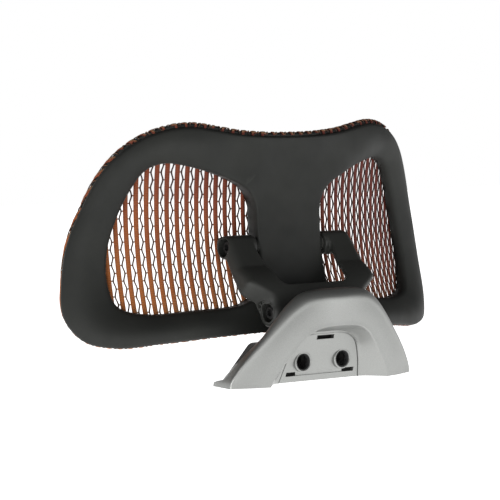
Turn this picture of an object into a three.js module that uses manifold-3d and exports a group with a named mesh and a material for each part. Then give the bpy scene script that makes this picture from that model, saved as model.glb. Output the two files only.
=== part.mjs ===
// Mesh headrest attachment for an office chair, in millimetres.
// +Z is up, +Y points from the chair's rear to the sitter's head, and the object is symmetric about X = 0.
// The origin is on the flat face that seats on the chair, at the height of its two chair screws.

import * as THREE from 'three';
import { mergeVertices } from 'three/addons/utils/BufferGeometryUtils.js';
import Module from 'manifold-3d';

const wasm = await Module();
wasm.setup();

// ---------------------------------------------------------------- driving dimensions

const GAP = 0.3; // between pieces that touch
const CUT_MARGIN = 9; // how far cutting solids stand clear of what they cut

// Pad: a frame curved round the head in plan and bulging forward in side view.
const PAD_HALF_WIDTH = 184; // along the curve
const PAD_RISE = 69; // highest point of the outline above the pad's centre
const PAD_DROP = 95; // lowest point below it
const PAD_RADIUS = 270; // plan radius of the rear face
const PAD_PROFILE_RADIUS = 280; // side-view radius
const PAD_PROFILE_APEX = 14; // height of the most forward point
const PAD_CENTRE_Y = 9;
const PAD_BOTTOM_Z = 12; // of the lower edge at the pad's middle, about
const PAD_CENTRE_Z = PAD_DROP + PAD_BOTTOM_Z;
const RIB_HALF_WIDTH = 30;
const SIDE_BORDER = 33;
const TOP_BORDER = 27.5;
const BOTTOM_BORDER = 24.5;
const FRAME_CROWN = 5; // how far the border bulges to the rear
const FRAME_INNER_DEPTH = 1.5; // of the rear face at the windows' edges
const FRAME_OUTER_DEPTH = -1; // and at the outline
const FRAME_EDGE_ROUND = 2.4;
const FRAME_FRONT_GAP = 2.3; // from the fabric's face back to the frame's front

// Fabric, and the ring that carries it: depths are measured forward from the pad's rear face.
const FABRIC_THICKNESS = 0.7;
const FABRIC_TAIL = 8; // width tucked behind the ring
const CARRIER_WIDTH = FABRIC_TAIL + 4; // the ring reaches past the tail, to hold the spline
const FABRIC_SIDE_OVERHANG = 0.8; // past the frame's outline
const FABRIC_TOP_OVERHANG = 2.8; // extra along the top
const BEAD_RADIUS = 2.3;
const BEAD_DEPTH = 4.6;
const CARRIER_THICKNESS = 2;
const SPLINE_WIDTH = 2.5;
const SPLINE_THICKNESS = 1.6;

// Hinges: each is a socket screw through a fork, with bushes in the middle knuckle.
const SCREW_RADIUS = 3;
const SCREW_HEAD_RADIUS = 5;
const SCREW_HEAD_LENGTH = 6;
const SCREW_SOCKET_ACROSS_FLATS = 5;
const SCREW_SOCKET_DEPTH = 3;
const NUT_ACROSS_FLATS = 10;
const NUT_LENGTH = 5;
const WASHER_RADIUS = 6.1;
const WASHER_THICKNESS = 1.6;
const DISC_SPRING_HEIGHT = 1.5;
const DISC_SPRING_THICKNESS = 0.9;
const FRICTION_THICKNESS = 1;
const BUSH_WALL = 1.4;
const BUSH_LENGTH = 14;
const SCREW_CLEARANCE = 0.3;

// Upper hinge, between the pad's rib and the arm.
const UPPER_AHEAD = 5; // of the upper hinge, forward of the pad's rear face
const UPPER_Y = PAD_CENTRE_Y + UPPER_AHEAD;
const UPPER_BELOW = 22.5; // of the upper hinge, under the pad's centre
const UPPER_Z = PAD_CENTRE_Z - UPPER_BELOW;
const UPPER_KNUCKLE_OVERHANG = 1; // past the rib's side
const HEAD_RADIUS = 9;
const UPPER_KNUCKLE_RADIUS = HEAD_RADIUS - 2.4; // stands back from the arm's heads
const FABRIC_SET_BACK = 0.6; // less depth than the arm's heads would need on a flat pad
const FABRIC_BULGE = UPPER_AHEAD + HEAD_RADIUS - BEAD_DEPTH - FABRIC_SET_BACK; // extra, at the pad's centre
const HEAD_OUTER_X = 59;
const UPPER_RECESS_DEPTH = 12;
const SCREW_RECESS_CLEARANCE = 0.7; // round the washers, nuts and screw heads
const SCREW_RECESS_RADIUS = SCREW_RECESS_CLEARANCE
  + Math.max(WASHER_RADIUS, SCREW_HEAD_RADIUS, NUT_ACROSS_FLATS / Math.sqrt(3));

// Lower hinge, between the arm and the bracket.
const LOWER_Y = -23;
const LOWER_Z = 37.5;
const LOWER_KNUCKLE_HALF_WIDTH = 24;
const BARREL_RADIUS = 11;
const LOWER_KNUCKLE_RADIUS = BARREL_RADIUS - 0.5;
const BARREL_OUTER_X = 44;
const LOWER_RECESS_DEPTH = 10;
const BARREL_GROOVE_WIDTH = 1.2;
const BARREL_GROOVE_DEPTH = 0.8;

// Arm: a U-shaped casting from the lower barrel to the two upper heads.
const ARM_HALF_WIDTH = 60;
const ARM_SHOULDER = 21; // where it reaches its full width, along the arm from the lower axis
const ARM_WAIST = 3; // front faces of the flanges, forward of the line between the hinges
const ARM_WEB = 4.5; // thickness between the two side flanges
const ARM_FLANGE = 9;
const ARM_FLANGE_SLOPE = 3;
const ARM_ELBOW = 4.5; // how far the lower half bulges to the rear
const ARM_ELBOW_LENGTH = 36;
const ARM_EDGE_ROUND = 6;
const ARM_FRONT_ROUND = 2.5;
const ARM_GAP_CLEARANCE = 6.5; // from the rib to the arm's uprights
const ARM_GAP_HALF_WIDTH = RIB_HALF_WIDTH + ARM_GAP_CLEARANCE;
const ARM_GAP_FOOT_HALF_WIDTH = ARM_GAP_HALF_WIDTH - 3.5;
const ARM_GAP_FLOOR = 15; // along the arm from the lower axis
const ARM_GAP_CORNER = 9;
const BARREL_SLOT_CLEARANCE = 1.5;

// Bracket hood: an arched shell whose rear face is part of an upright cylinder.
const HOOD_BOTTOM_Z = -15.5;
const HOOD_HALF_WIDTH = 85.5;
const HOOD_HEIGHT = 71.5;
const HOOD_REAR_Y = -57;
const HOOD_REAR_RADIUS = 170;
const HOOD_WALL = 2.8;
const HOOD_TAB_DEPTH = 23; // of the tab at each foot, forward of the rear face's edge
const HOOD_TAB_HEIGHT = 3.5;
const HOOD_SIDE_DEPTH = 11; // of the side wall above the tab, falling away upward
const HOOD_SIDE_HEIGHT = 37;
const HOOD_CREST_DEPTH = 1;
const HOOD_FOOT_ROUND = 2.5;
const HOOD_CREST_ROUND = 9;
const SCOOP_HALF_WIDTH = 55; // the scoop round the plate, in the hood's rear face
const SCOOP_HEIGHT = 44;
const SCOOP_RIM_SINK = 5; // how far the scoop's rim lies below the rear face at the feet
const PLATE_HALF_WIDTH = 38;
const PLATE_HEIGHT = 37;
const PLATE_Y = -28; // at the hood's bottom
const PLATE_LEAN = 0.26; // rearward per millimetre of height
const CHAIR_HOLE_SPACING = 37;
const CHAIR_HOLE_RADIUS = 6.35;
const CHAIR_SCREW_HOLE_RADIUS = 3.4;
const CHAIR_HOLE_RIM = 1.4;
const TOP_SLOT = [16, 3.2];
const TOP_SLOT_HEIGHT = 33.5;
const GUTTER = [64, 3.2];
const GUTTER_HEIGHT = 6.3;
const GUTTER_DEPTH = 1.4;
const GUTTER_SLOT_WIDTH = 10;

// Bracket core: the block that seats on the chair and carries the lower knuckle.
const CORE_HALF_WIDTH = HOOD_HALF_WIDTH - 16.5; // inside the hood's side walls
const CORE_TOP_HALF_WIDTH = 44;
const CORE_BOTTOM_Z = -14.5;
const CORE_TOP_Z = 13;
const CORE_REAR_Y = PLATE_Y + 4.5; // in front of the hood's plate
const CORE_SEAT_Y = 0;
const CORE_CORNER = 7;
const NECK_DEPTH = 8; // of the neck under the lower knuckle
const HOOD_SCREW_X = 47;
const HOOD_SCREW_Z = -5.5;
const HOOD_SCREW_RADIUS = 2;
const HOOD_SCREW_HEAD_RADIUS = 4.2;
const HOOD_SCREW_HEAD_LENGTH = 2.6;
const HOOD_SCREW_SINK = 6;
const HOOD_BOSS_WALL = 2.6;
const HOOD_BOSS_HOLE_DEPTH = 9;

// Mesh density.
const HALF_STATIONS = 30; // along half of the pad's outline
const RIB_STATIONS = 8;
const ROUND_SEGMENTS = 16;
const LARGE_ROUND_SEGMENTS = 28;
const ARCH_STATIONS = 34;
const ARCH_CROWDING = 0.5; // of the stations, towards the arch's feet
const CURVE_DIVISIONS = 1000;

// ---------------------------------------------------------------- solids and cuts

function signedVolume(geometry) {
  const position = geometry.getAttribute('position');
  const corner = [new THREE.Vector3(), new THREE.Vector3(), new THREE.Vector3()];
  let total = 0;
  for (let i = 0; i < geometry.index.count; i += 3) {
    corner.forEach((point, k) => point.fromBufferAttribute(position, geometry.index.getX(i + k)));
    total += corner[0].dot(corner[1].clone().cross(corner[2])) / 6;
  }
  return total;
}

/** Merges shared vertices, drops flat triangles and turns every face outward. */
function tidied(geometry) {
  for (const name of ['normal', 'uv']) geometry.deleteAttribute(name);
  const merged = mergeVertices(geometry, 1e-3);
  const kept = [];
  const index = merged.index.array;
  for (let i = 0; i < index.length; i += 3) {
    const [a, b, c] = [index[i], index[i + 1], index[i + 2]];
    if (a !== b && b !== c && c !== a) kept.push(a, b, c);
  }
  merged.setIndex(kept);
  if (signedVolume(merged) < 0) {
    for (let i = 0; i < kept.length; i += 3) [kept[i], kept[i + 1]] = [kept[i + 1], kept[i]];
    merged.setIndex(kept);
  }
  return merged;
}

function solid(geometry) {
  const merged = tidied(geometry);
  const vertProperties = new Float32Array(merged.getAttribute('position').array);
  const triVerts = new Uint32Array(merged.index.array);
  return new wasm.Manifold(new wasm.Mesh({ numProp: 3, vertProperties, triVerts }));
}

function geometryOf(manifold) {
  const mesh = manifold.getMesh();
  const geometry = new THREE.BufferGeometry();
  geometry.setAttribute('position', new THREE.BufferAttribute(new Float32Array(mesh.vertProperties), 3));
  geometry.setIndex([...mesh.triVerts]);
  return geometry;
}

function fromTriangles(points, triangles) {
  const geometry = new THREE.BufferGeometry();
  const flat = points.flatMap((p) => [p.x, p.y, p.z]);
  geometry.setAttribute('position', new THREE.Float32BufferAttribute(flat, 3));
  geometry.setIndex(triangles);
  return geometry;
}

/** Skin through closed rings of points: joined end to end, or closed by a point at each end. */
function ringSkin(rings, poles = null) {
  const count = rings[0].length;
  const points = rings.flat();
  const triangles = [];
  const last = poles ? rings.length - 1 : rings.length;
  for (let r = 0; r < last; r += 1) {
    const next = (r + 1) % rings.length;
    for (let i = 0; i < count; i += 1) {
      const j = (i + 1) % count;
      const [a, b, c, d] = [r * count + i, r * count + j, next * count + j, next * count + i];
      triangles.push(a, b, c, a, c, d);
    }
  }
  if (poles) {
    const top = (rings.length - 1) * count;
    points.push(...poles);
    for (let i = 0; i < count; i += 1) {
      const j = (i + 1) % count;
      triangles.push(rings.length * count, j, i);
      triangles.push(rings.length * count + 1, top + i, top + j);
    }
  }
  return fromTriangles(points, triangles);
}

/** A turned piece on the X axis: profile points are [x, radius]. */
function turned(profile, segments = ROUND_SEGMENTS) {
  const points = profile.map(([x, radius]) => new THREE.Vector2(radius, x));
  return new THREE.LatheGeometry(points, segments).rotateZ(-Math.PI / 2);
}

const rod = (from, to, radius, segments) => turned(
  [[from, 0], [from, radius], [to, radius], [to, 0]], segments);

const sleeve = (from, to, inner, outer) => turned(
  [[from, inner], [from, outer], [to, outer], [to, inner], [from, inner]]);

function hexPrism(from, to, acrossFlats) {
  return rod(from, to, acrossFlats / Math.sqrt(3), 6);
}

/** Extrudes [x, z] points along Y. */
function extrudedAlongY(points, from, to) {
  const shape = new THREE.Shape(points.map(([x, z]) => new THREE.Vector2(x, z)));
  const geometry = new THREE.ExtrudeGeometry(shape, { depth: to - from, bevelEnabled: false });
  return geometry.rotateX(Math.PI / 2).translate(0, to, 0);
}

/** Extrudes [y, z] points along X. */
function extrudedAlongX(points, from, to) {
  const shape = new THREE.Shape(points.map(([y, z]) => new THREE.Vector2(y, z)));
  const geometry = new THREE.ExtrudeGeometry(shape, { depth: to - from, bevelEnabled: false });
  const turn = new THREE.Matrix4().makeBasis(
    new THREE.Vector3(0, 1, 0), new THREE.Vector3(0, 0, 1), new THREE.Vector3(1, 0, 0));
  return geometry.applyMatrix4(turn).translate(from, 0, 0);
}

/** Points of an arc round [x, y], from one angle to another in degrees. */
function arc(x, y, radius, from, to, steps) {
  return Array.from({ length: steps + 1 }, (_, i) => {
    const angle = THREE.MathUtils.degToRad(from + (to - from) * i / steps);
    return [x + radius * Math.cos(angle), y + radius * Math.sin(angle)];
  });
}

const alongY = (geometry, x, z) => geometry.rotateZ(Math.PI / 2).translate(x, 0, z);
const atUpper = (geometry) => geometry.translate(0, UPPER_Y, UPPER_Z);
const atLower = (geometry) => geometry.translate(0, LOWER_Y, LOWER_Z);

// ---------------------------------------------------------------- the pad's surface

/** A place on the pad: u along the plan curve, z up from the pad's centre, depth forward. */
function onPad(u, z, depth) {
  const angle = u / PAD_RADIUS;
  const radius = PAD_RADIUS - depth;
  const rise = z - PAD_PROFILE_APEX;
  const y = PAD_CENTRE_Y + PAD_RADIUS - radius * Math.cos(angle) - rise * rise / (2 * PAD_PROFILE_RADIUS);
  return new THREE.Vector3(radius * Math.sin(angle), y, PAD_CENTRE_Z + z);
}

/** Outline of the right half, from the bottom centre to the top centre, as shares of the pad's size. */
const OUTLINE = [
  [0, -0.9], [0.375, -0.925], [0.625, -0.965], [0.83, -0.995], [0.955, -0.94], [1.018, -0.77],
  [1.008, -0.49], [0.97, -0.19], [0.915, 0.07], [0.845, 0.43], [0.775, 0.67], [0.68, 0.86],
  [0.57, 0.97], [0.465, 1], [0.365, 0.965], [0.27, 0.92], [0.15, 0.89], [0, 0.88],
];

/** Window of the right half, clockwise, as shares of the window's own box. */
const WINDOW = [
  [0, 0.56], [0.01, 0.72], [0.07, 0.82], [0.26, 0.92], [0.48, 0.985], [0.62, 1], [0.73, 0.955],
  [0.82, 0.83], [0.91, 0.64], [0.98, 0.42], [1, 0.2], [0.955, 0.05], [0.8, 0],
  [0.48, 0.015], [0.14, 0.05], [0.03, 0.13], [0, 0.3],
];

function smoothLoop(points, count) {
  const knots = points.map(([x, y]) => new THREE.Vector3(x, y, 0));
  const curve = new THREE.CatmullRomCurve3(knots, true, 'centripetal');
  curve.arcLengthDivisions = CURVE_DIVISIONS;
  return curve.getSpacedPoints(count).slice(0, count).map((p) => [p.x, p.y]);
}

/** The outline as evenly spaced stations with outward normals, starting at the bottom centre. */
function outlineStations() {
  const half = OUTLINE.map(([x, y]) => [x * PAD_HALF_WIDTH, y * (y > 0 ? PAD_RISE : PAD_DROP)]);
  const mirrored = half.slice(1, -1).reverse().map(([x, y]) => [-x, y]);
  const right = smoothLoop([...half, ...mirrored], 2 * HALF_STATIONS).slice(0, HALF_STATIONS + 1);
  right[0][0] = 0;
  right[HALF_STATIONS][0] = 0;
  const left = right.slice(1, -1).reverse().map(([x, y]) => [-x, y]);
  const loop = [...right, ...left];
  return loop.map(([u, z], i) => {
    const [u0, z0] = loop.at(i - 1);
    const [u1, z1] = loop[(i + 1) % loop.length];
    const length = Math.hypot(u1 - u0, z1 - z0);
    return { u, z, nu: (z1 - z0) / length, nz: (u0 - u1) / length };
  });
}

const outline = outlineStations();

/** The fabric's outer edge, a little outside the frame. */
const fabricEdge = outline.map(({ u, z, nu, nz }) => {
  const out = FABRIC_SIDE_OVERHANG + FABRIC_TOP_OVERHANG * Math.max(0, nz);
  return { u: u + nu * out, z: z + nz * out, nu, nz };
});

const inset = ({ u, z, nu, nz }, distance) => [u - nu * distance, z - nz * distance];

/** Distance from the pad's centre to the fabric's edge at an angle. */
function reach(angle) {
  const spokes = fabricEdge.map(({ u, z }) => ({ angle: Math.atan2(z, u), radius: Math.hypot(u, z) }));
  spokes.sort((a, b) => a.angle - b.angle);
  const next = spokes.findIndex((spoke) => spoke.angle >= angle);
  const b = spokes[next < 0 ? 0 : next];
  const a = spokes.at(next < 0 ? -1 : next - 1);
  const span = THREE.MathUtils.euclideanModulo(b.angle - a.angle, 2 * Math.PI);
  const share = THREE.MathUtils.euclideanModulo(angle - a.angle, 2 * Math.PI) / span;
  return THREE.MathUtils.lerp(a.radius, b.radius, share);
}

const BEAD_INSET = BEAD_RADIUS + GAP + FABRIC_THICKNESS;
const FABRIC_EDGE_DEPTH = BEAD_DEPTH + BEAD_INSET;

/** Depth of the fabric's front face, which bulges towards the pad's centre. */
function fabricDepth(u, z) {
  const share = Math.min(1, Math.hypot(u, z) / reach(Math.atan2(z, u)));
  return FABRIC_EDGE_DEPTH + FABRIC_BULGE * (1 - share * share);
}

/** A ring round the pad with a closed section of [inset, depth] points. */
function padRing(section) {
  return ringSkin(section.map(([distance, depth]) => fabricEdge.map((station) => (
    onPad(...inset(station, distance), depth)))));
}

// ---------------------------------------------------------------- rear frame

function windowOutline() {
  const width = PAD_HALF_WIDTH - SIDE_BORDER - RIB_HALF_WIDTH;
  const bottom = BOTTOM_BORDER - PAD_DROP;
  const height = PAD_RISE - TOP_BORDER - bottom;
  return smoothLoop(WINDOW.map(([x, y]) => [RIB_HALF_WIDTH + x * width, bottom + y * height]), 240);
}

/** Where a ray from the window's middle towards a point leaves the window. */
function windowEdgeTowards(loop, middle, [u, z]) {
  const target = Math.atan2(z - middle[1], u - middle[0]);
  const off = (point) => {
    const angle = Math.atan2(point[1] - middle[1], point[0] - middle[0]) - target;
    return THREE.MathUtils.euclideanModulo(angle + Math.PI, 2 * Math.PI) - Math.PI;
  };
  const i = loop.findIndex((point, k) => off(point) >= 0 && off(loop[(k + 1) % loop.length]) < 0
    && Math.abs(off(point)) < 1);
  const a = loop[i];
  const b = loop[(i + 1) % loop.length];
  const share = -off(a) / (off(b) - off(a));
  return [THREE.MathUtils.lerp(a[0], b[0], share), THREE.MathUtils.lerp(a[1], b[1], share)];
}

/** Rear face depth across the border: crowned at the sides, flat across the rib. */
function rearDepth(share, u, crowned) {
  const slope = THREE.MathUtils.lerp(FRAME_INNER_DEPTH, FRAME_OUTER_DEPTH, share);
  const border = slope - FRAME_CROWN * Math.sin(Math.PI * share);
  const rib = -(Math.min(u, RIB_HALF_WIDTH) ** 2) / (2 * PAD_RADIUS);
  return THREE.MathUtils.lerp(rib, border, crowned);
}

/** One cross-section of the frame, from the window's edge to the outline or to the centre line. */
function frameSection(edge, end, drop) {
  const length = Math.hypot(end[0] - edge[0], end[1] - edge[1]);
  const crowned = THREE.MathUtils.smoothstep(Math.abs(end[0]), 20, 90);
  const at = (distance, depth) => {
    const share = distance / length;
    const u = THREE.MathUtils.lerp(edge[0], end[0], share);
    const z = THREE.MathUtils.lerp(edge[1], end[1], share);
    return onPad(u, z, depth(share, u, z));
  };
  const round = FRAME_EDGE_ROUND;
  const rear = (lowered) => (share, u) => rearDepth(share, u, crowned) + lowered;
  const front = (share, u, z) => fabricDepth(u, z) - FRAME_FRONT_GAP;
  return [
    at(0, rear(round)), at(0.3 * round, rear(0.3 * round)), at(round, rear(0)),
    ...[0.28, 0.5, 0.72].map((share) => at(share * length, rear(0))),
    at(length - round, rear(0)), at(length - 0.3 * round, rear(0.3 * drop)), at(length, rear(drop)),
    at(length, front), at(0.5 * length, front), at(0, front),
  ];
}

function frameHalf() {
  const loop = windowOutline();
  const middle = [0, 1].map((k) => loop.reduce((sum, point) => sum + point[k], 0) / loop.length);
  const round = FRAME_EDGE_ROUND;
  const [bottom, top] = [outline[0].z, outline[HALF_STATIONS].z];
  const ribSteps = Array.from({ length: RIB_STATIONS - 1 }, (_, i) => (
    [THREE.MathUtils.lerp(top, bottom, (i + 1) / RIB_STATIONS), 0]));
  const centreLine = [
    [top - 0.3 * round, 0.3 * round], [top - round, 0], ...ribSteps,
    [bottom + round, 0], [bottom + 0.3 * round, 0.3 * round],
  ];
  const ends = [
    ...outline.slice(0, HALF_STATIONS + 1).map(({ u, z }) => ({ end: [u, z], drop: round })),
    ...centreLine.map(([z, drop]) => ({ end: [0, z], drop })),
  ];
  const sections = ends.map(({ end, drop }) => frameSection(windowEdgeTowards(loop, middle, end), end, drop));
  const count = sections[0].length;
  const outerWall = count - 4; // the step from the rear face to the front one, at the far end
  const triangles = [];
  sections.forEach((_, s) => {
    const next = (s + 1) % sections.length;
    for (let i = 0; i < count; i += 1) {
      const j = (i + 1) % count;
      const open = i === outerWall && s >= HALF_STATIONS;
      if (!open) {
        const [a, b, c, d] = [s * count + i, s * count + j, next * count + j, next * count + i];
        triangles.push(a, b, c, a, c, d);
      }
    }
  });
  return { points: sections.flat(), triangles };
}

function makeRearFrame() {
  const { points, triangles } = frameHalf();
  const mirrored = points.map((p) => new THREE.Vector3(-p.x, p.y, p.z));
  const flipped = [];
  for (let i = 0; i < triangles.length; i += 3) {
    flipped.push(triangles[i + 1], triangles[i], triangles[i + 2]);
  }
  const all = [...triangles, ...flipped.map((k) => k + points.length)];
  const ledge = FABRIC_EDGE_DEPTH - 2 * BEAD_INSET - GAP;
  const inner = CARRIER_WIDTH + GAP;
  const front = FABRIC_EDGE_DEPTH + FABRIC_BULGE + CUT_MARGIN;
  const floor = [-CUT_MARGIN, 0, inner / 2, inner].map((distance) => [distance, ledge]);
  const rabbet = padRing([...floor, [inner, front], [-CUT_MARGIN, front]]);
  const knuckleEnd = RIB_HALF_WIDTH + UPPER_KNUCKLE_OVERHANG;
  const beyond = knuckleEnd + CUT_MARGIN;
  const bore = SCREW_RADIUS + SCREW_CLEARANCE;
  let frame = solid(fromTriangles([...points, ...mirrored], all));
  frame = frame.subtract(solid(rabbet));
  frame = frame.add(solid(atUpper(rod(-knuckleEnd, knuckleEnd, UPPER_KNUCKLE_RADIUS))));
  frame = frame.subtract(solid(atUpper(rod(-beyond, beyond, bore))));
  for (const side of [-1, 1]) {
    const from = side * (knuckleEnd - BUSH_LENGTH);
    frame = frame.subtract(solid(atUpper(rod(from, side * beyond, bore + BUSH_WALL + GAP))));
  }
  return geometryOf(frame);
}

// ---------------------------------------------------------------- fabric and its ring

/** Half turn round the ring's bead, from the front over the outer edge to the back. */
function wrap(radius, steps) {
  return arc(BEAD_INSET, BEAD_DEPTH, radius, 90, 270, steps);
}

function makeFabric() {
  const shares = [0.3, 0.55, 0.75, 0.9];
  const layer = (radius, lift) => {
    const panel = shares.map((share) => fabricEdge.map((station) => {
      const [u, z] = inset(station, BEAD_INSET).map((value) => value * share);
      return onPad(u, z, fabricDepth(u, z) - lift);
    }));
    const path = [...wrap(radius, 4), [FABRIC_TAIL, BEAD_DEPTH - radius]];
    const edge = path.map(([distance, depth]) => fabricEdge.map((station) => (
      onPad(...inset(station, distance), depth))));
    return [...panel, ...edge];
  };
  const front = layer(BEAD_INSET, 0);
  const back = layer(BEAD_INSET - FABRIC_THICKNESS, FABRIC_THICKNESS).reverse();
  const poles = [0, FABRIC_THICKNESS].map((lift) => onPad(0, 0, FABRIC_EDGE_DEPTH + FABRIC_BULGE - lift));
  return ringSkin([...front, ...back], poles);
}

const flangeFront = BEAD_DEPTH + CARRIER_THICKNESS / 2;
const flangeBack = BEAD_DEPTH - CARRIER_THICKNESS / 2;

function makeCarrier() {
  const reachIn = BEAD_INSET + Math.sqrt(BEAD_RADIUS ** 2 - (CARRIER_THICKNESS / 2) ** 2);
  const bead = arc(BEAD_INSET, BEAD_DEPTH, BEAD_RADIUS, 50, 310, 6);
  return padRing([
    [reachIn, flangeFront], ...bead, [reachIn, flangeBack],
    [CARRIER_WIDTH, flangeBack], [CARRIER_WIDTH, flangeFront],
  ]);
}

function makeSpline() {
  const front = flangeBack - GAP;
  const start = FABRIC_TAIL + GAP;
  return padRing([
    [start, front], [start, front - SPLINE_THICKNESS],
    [start + SPLINE_WIDTH, front - SPLINE_THICKNESS], [start + SPLINE_WIDTH, front],
  ]);
}

// ---------------------------------------------------------------- arm

const ARM_LENGTH = Math.hypot(UPPER_Y - LOWER_Y, UPPER_Z - LOWER_Z);
const ARM_UP = new THREE.Vector3(0, (UPPER_Y - LOWER_Y) / ARM_LENGTH, (UPPER_Z - LOWER_Z) / ARM_LENGTH);
const ARM_BACK = new THREE.Vector3(0, -ARM_UP.z, ARM_UP.y);

/** A place on the arm: x across, s along it from the lower axis, n towards its rear face. */
function onArm(x, s, n) {
  const place = new THREE.Vector3(x, LOWER_Y, LOWER_Z);
  return place.addScaledVector(ARM_UP, s).addScaledVector(ARM_BACK, n);
}

/** Half width of the arm: narrow at the barrel, full above the shoulder. */
function armHalfWidth(s) {
  const { lerp, smoothstep } = THREE.MathUtils;
  const full = lerp(ARM_HALF_WIDTH, HEAD_OUTER_X, smoothstep(s, ARM_SHOULDER, ARM_LENGTH));
  return lerp(BARREL_OUTER_X, full, smoothstep(s, BARREL_RADIUS / 3, ARM_SHOULDER));
}

/** Rear and front faces, measured to the rear from the line between the hinges, and the web's front face. */
function armFaces(s) {
  const half = (radius, distance) => Math.sqrt(Math.max(0, radius * radius - distance * distance));
  const low = half(BARREL_RADIUS, s);
  const high = half(HEAD_RADIUS, s - ARM_LENGTH);
  if (s < 0) return { rear: low, front: -low, web: -low };
  if (s > ARM_LENGTH) return { rear: high, front: -high, web: -high };
  const elbow = s < ARM_ELBOW_LENGTH ? ARM_ELBOW * Math.sin(Math.PI * s / ARM_ELBOW_LENGTH) : 0;
  const rear = THREE.MathUtils.lerp(BARREL_RADIUS, HEAD_RADIUS, s / ARM_LENGTH) + elbow;
  const front = -Math.max(low, high, ARM_WAIST);
  const below = THREE.MathUtils.smoothstep(s, BARREL_RADIUS, ARM_SHOULDER);
  const above = THREE.MathUtils.smoothstep(ARM_LENGTH - s, HEAD_RADIUS, HEAD_RADIUS + 4);
  return { rear, front, web: THREE.MathUtils.lerp(front, rear - ARM_WEB, below * above) };
}

function armRing(s) {
  const { rear, front, web } = armFaces(s);
  const width = armHalfWidth(s);
  const thick = rear - front;
  const back = Math.min(ARM_EDGE_ROUND, 0.6 * thick);
  const fore = Math.min(ARM_FRONT_ROUND, 0.3 * thick);
  const inner = width - ARM_FLANGE;
  const section = [
    ...arc(width - back, rear - back, back, 0, 90, 4),
    ...arc(back - width, rear - back, back, 90, 180, 4),
    ...arc(fore - width, front + fore, fore, 180, 270, 2),
    [-inner, front], [ARM_FLANGE_SLOPE - inner, web], [inner - ARM_FLANGE_SLOPE, web], [inner, front],
    ...arc(width - fore, front + fore, fore, 270, 360, 2),
  ];
  return section.map(([x, n]) => onArm(x, s, n));
}

/** The opening between the two uprights, cut through from front to rear. */
function armGap() {
  const foot = ARM_GAP_FOOT_HALF_WIDTH;
  const corner = ARM_GAP_CORNER;
  const right = [
    ...arc(foot - corner, ARM_GAP_FLOOR + corner, corner, 270, 360, 5),
    [ARM_GAP_HALF_WIDTH, ARM_LENGTH - HEAD_RADIUS], [ARM_GAP_HALF_WIDTH, ARM_LENGTH + 3 * HEAD_RADIUS],
  ];
  const loop = [...right, ...right.toReversed().map(([x, s]) => [-x, s])];
  const depths = [-3 * BARREL_RADIUS, 3 * BARREL_RADIUS];
  const rings = depths.map((n) => loop.map(([x, s]) => onArm(x, s, n)));
  const poles = depths.map((n) => onArm(0, ARM_LENGTH - HEAD_RADIUS, n));
  return ringSkin(rings, poles);
}

function makeArm() {
  const lowEnd = [0.25, 0.55, 0.85, 0.99].map((share) => -BARREL_RADIUS * Math.sqrt(1 - share * share));
  const highEnd = [0.99, 0.85, 0.55, 0.25].map((share) => (
    ARM_LENGTH + HEAD_RADIUS * Math.sqrt(1 - share * share)));
  const lowFlank = [0.35, 0.7, 0.92, 1].map((share) => share * BARREL_RADIUS);
  const highFlank = [1.45, 1.2, 1, 0.92, 0.7, 0.35].map((share) => ARM_LENGTH - share * HEAD_RADIUS);
  const middle = [0.5, 0.65, 0.8, 1].map((share) => share * ARM_SHOULDER).filter((s) => s > BARREL_RADIUS);
  middle.push(...[0.75, 1].map((share) => share * ARM_ELBOW_LENGTH));
  const stations = [...lowEnd, 0, ...lowFlank, ...middle, ...highFlank, ARM_LENGTH, ...highEnd];
  const poles = [onArm(0, -BARREL_RADIUS, 0), onArm(0, ARM_LENGTH + HEAD_RADIUS, 0)];
  const bossInner = RIB_HALF_WIDTH + UPPER_KNUCKLE_OVERHANG + FRICTION_THICKNESS + 2 * GAP;
  const slotHalf = LOWER_KNUCKLE_HALF_WIDTH + FRICTION_THICKNESS + 2 * GAP;
  const bore = SCREW_RADIUS + SCREW_CLEARANCE;
  let arm = solid(ringSkin(stations.map(armRing), poles));
  arm = arm.subtract(solid(armGap()));
  const slot = rod(-slotHalf, slotHalf, BARREL_RADIUS + BARREL_SLOT_CLEARANCE, LARGE_ROUND_SEGMENTS);
  arm = arm.subtract(solid(atLower(slot)));
  for (const side of [-1, 1]) {
    const beyond = side * 2 * HEAD_OUTER_X;
    const groove = SCREW_RECESS_RADIUS + 2 * BARREL_GROOVE_WIDTH;
    const grooveFrom = side * (BARREL_OUTER_X - BARREL_GROOVE_DEPTH);
    const bossEnd = side * (HEAD_OUTER_X - ARM_EDGE_ROUND);
    const boss = rod(side * bossInner, bossEnd, HEAD_RADIUS, LARGE_ROUND_SEGMENTS);
    const upperFloor = side * (HEAD_OUTER_X - UPPER_RECESS_DEPTH);
    const lowerFloor = side * (BARREL_OUTER_X - LOWER_RECESS_DEPTH);
    arm = arm.add(solid(atUpper(boss)));
    arm = arm.subtract(solid(atUpper(rod(0, beyond, bore))));
    arm = arm.subtract(solid(atLower(rod(0, beyond, bore))));
    arm = arm.subtract(solid(atUpper(rod(upperFloor, beyond, SCREW_RECESS_RADIUS))));
    arm = arm.subtract(solid(atLower(rod(lowerFloor, beyond, SCREW_RECESS_RADIUS))));
    arm = arm.subtract(solid(atLower(sleeve(grooveFrom, beyond, groove - BARREL_GROOVE_WIDTH, groove))));
  }
  return geometryOf(arm);
}

// ---------------------------------------------------------------- hinge hardware

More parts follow.
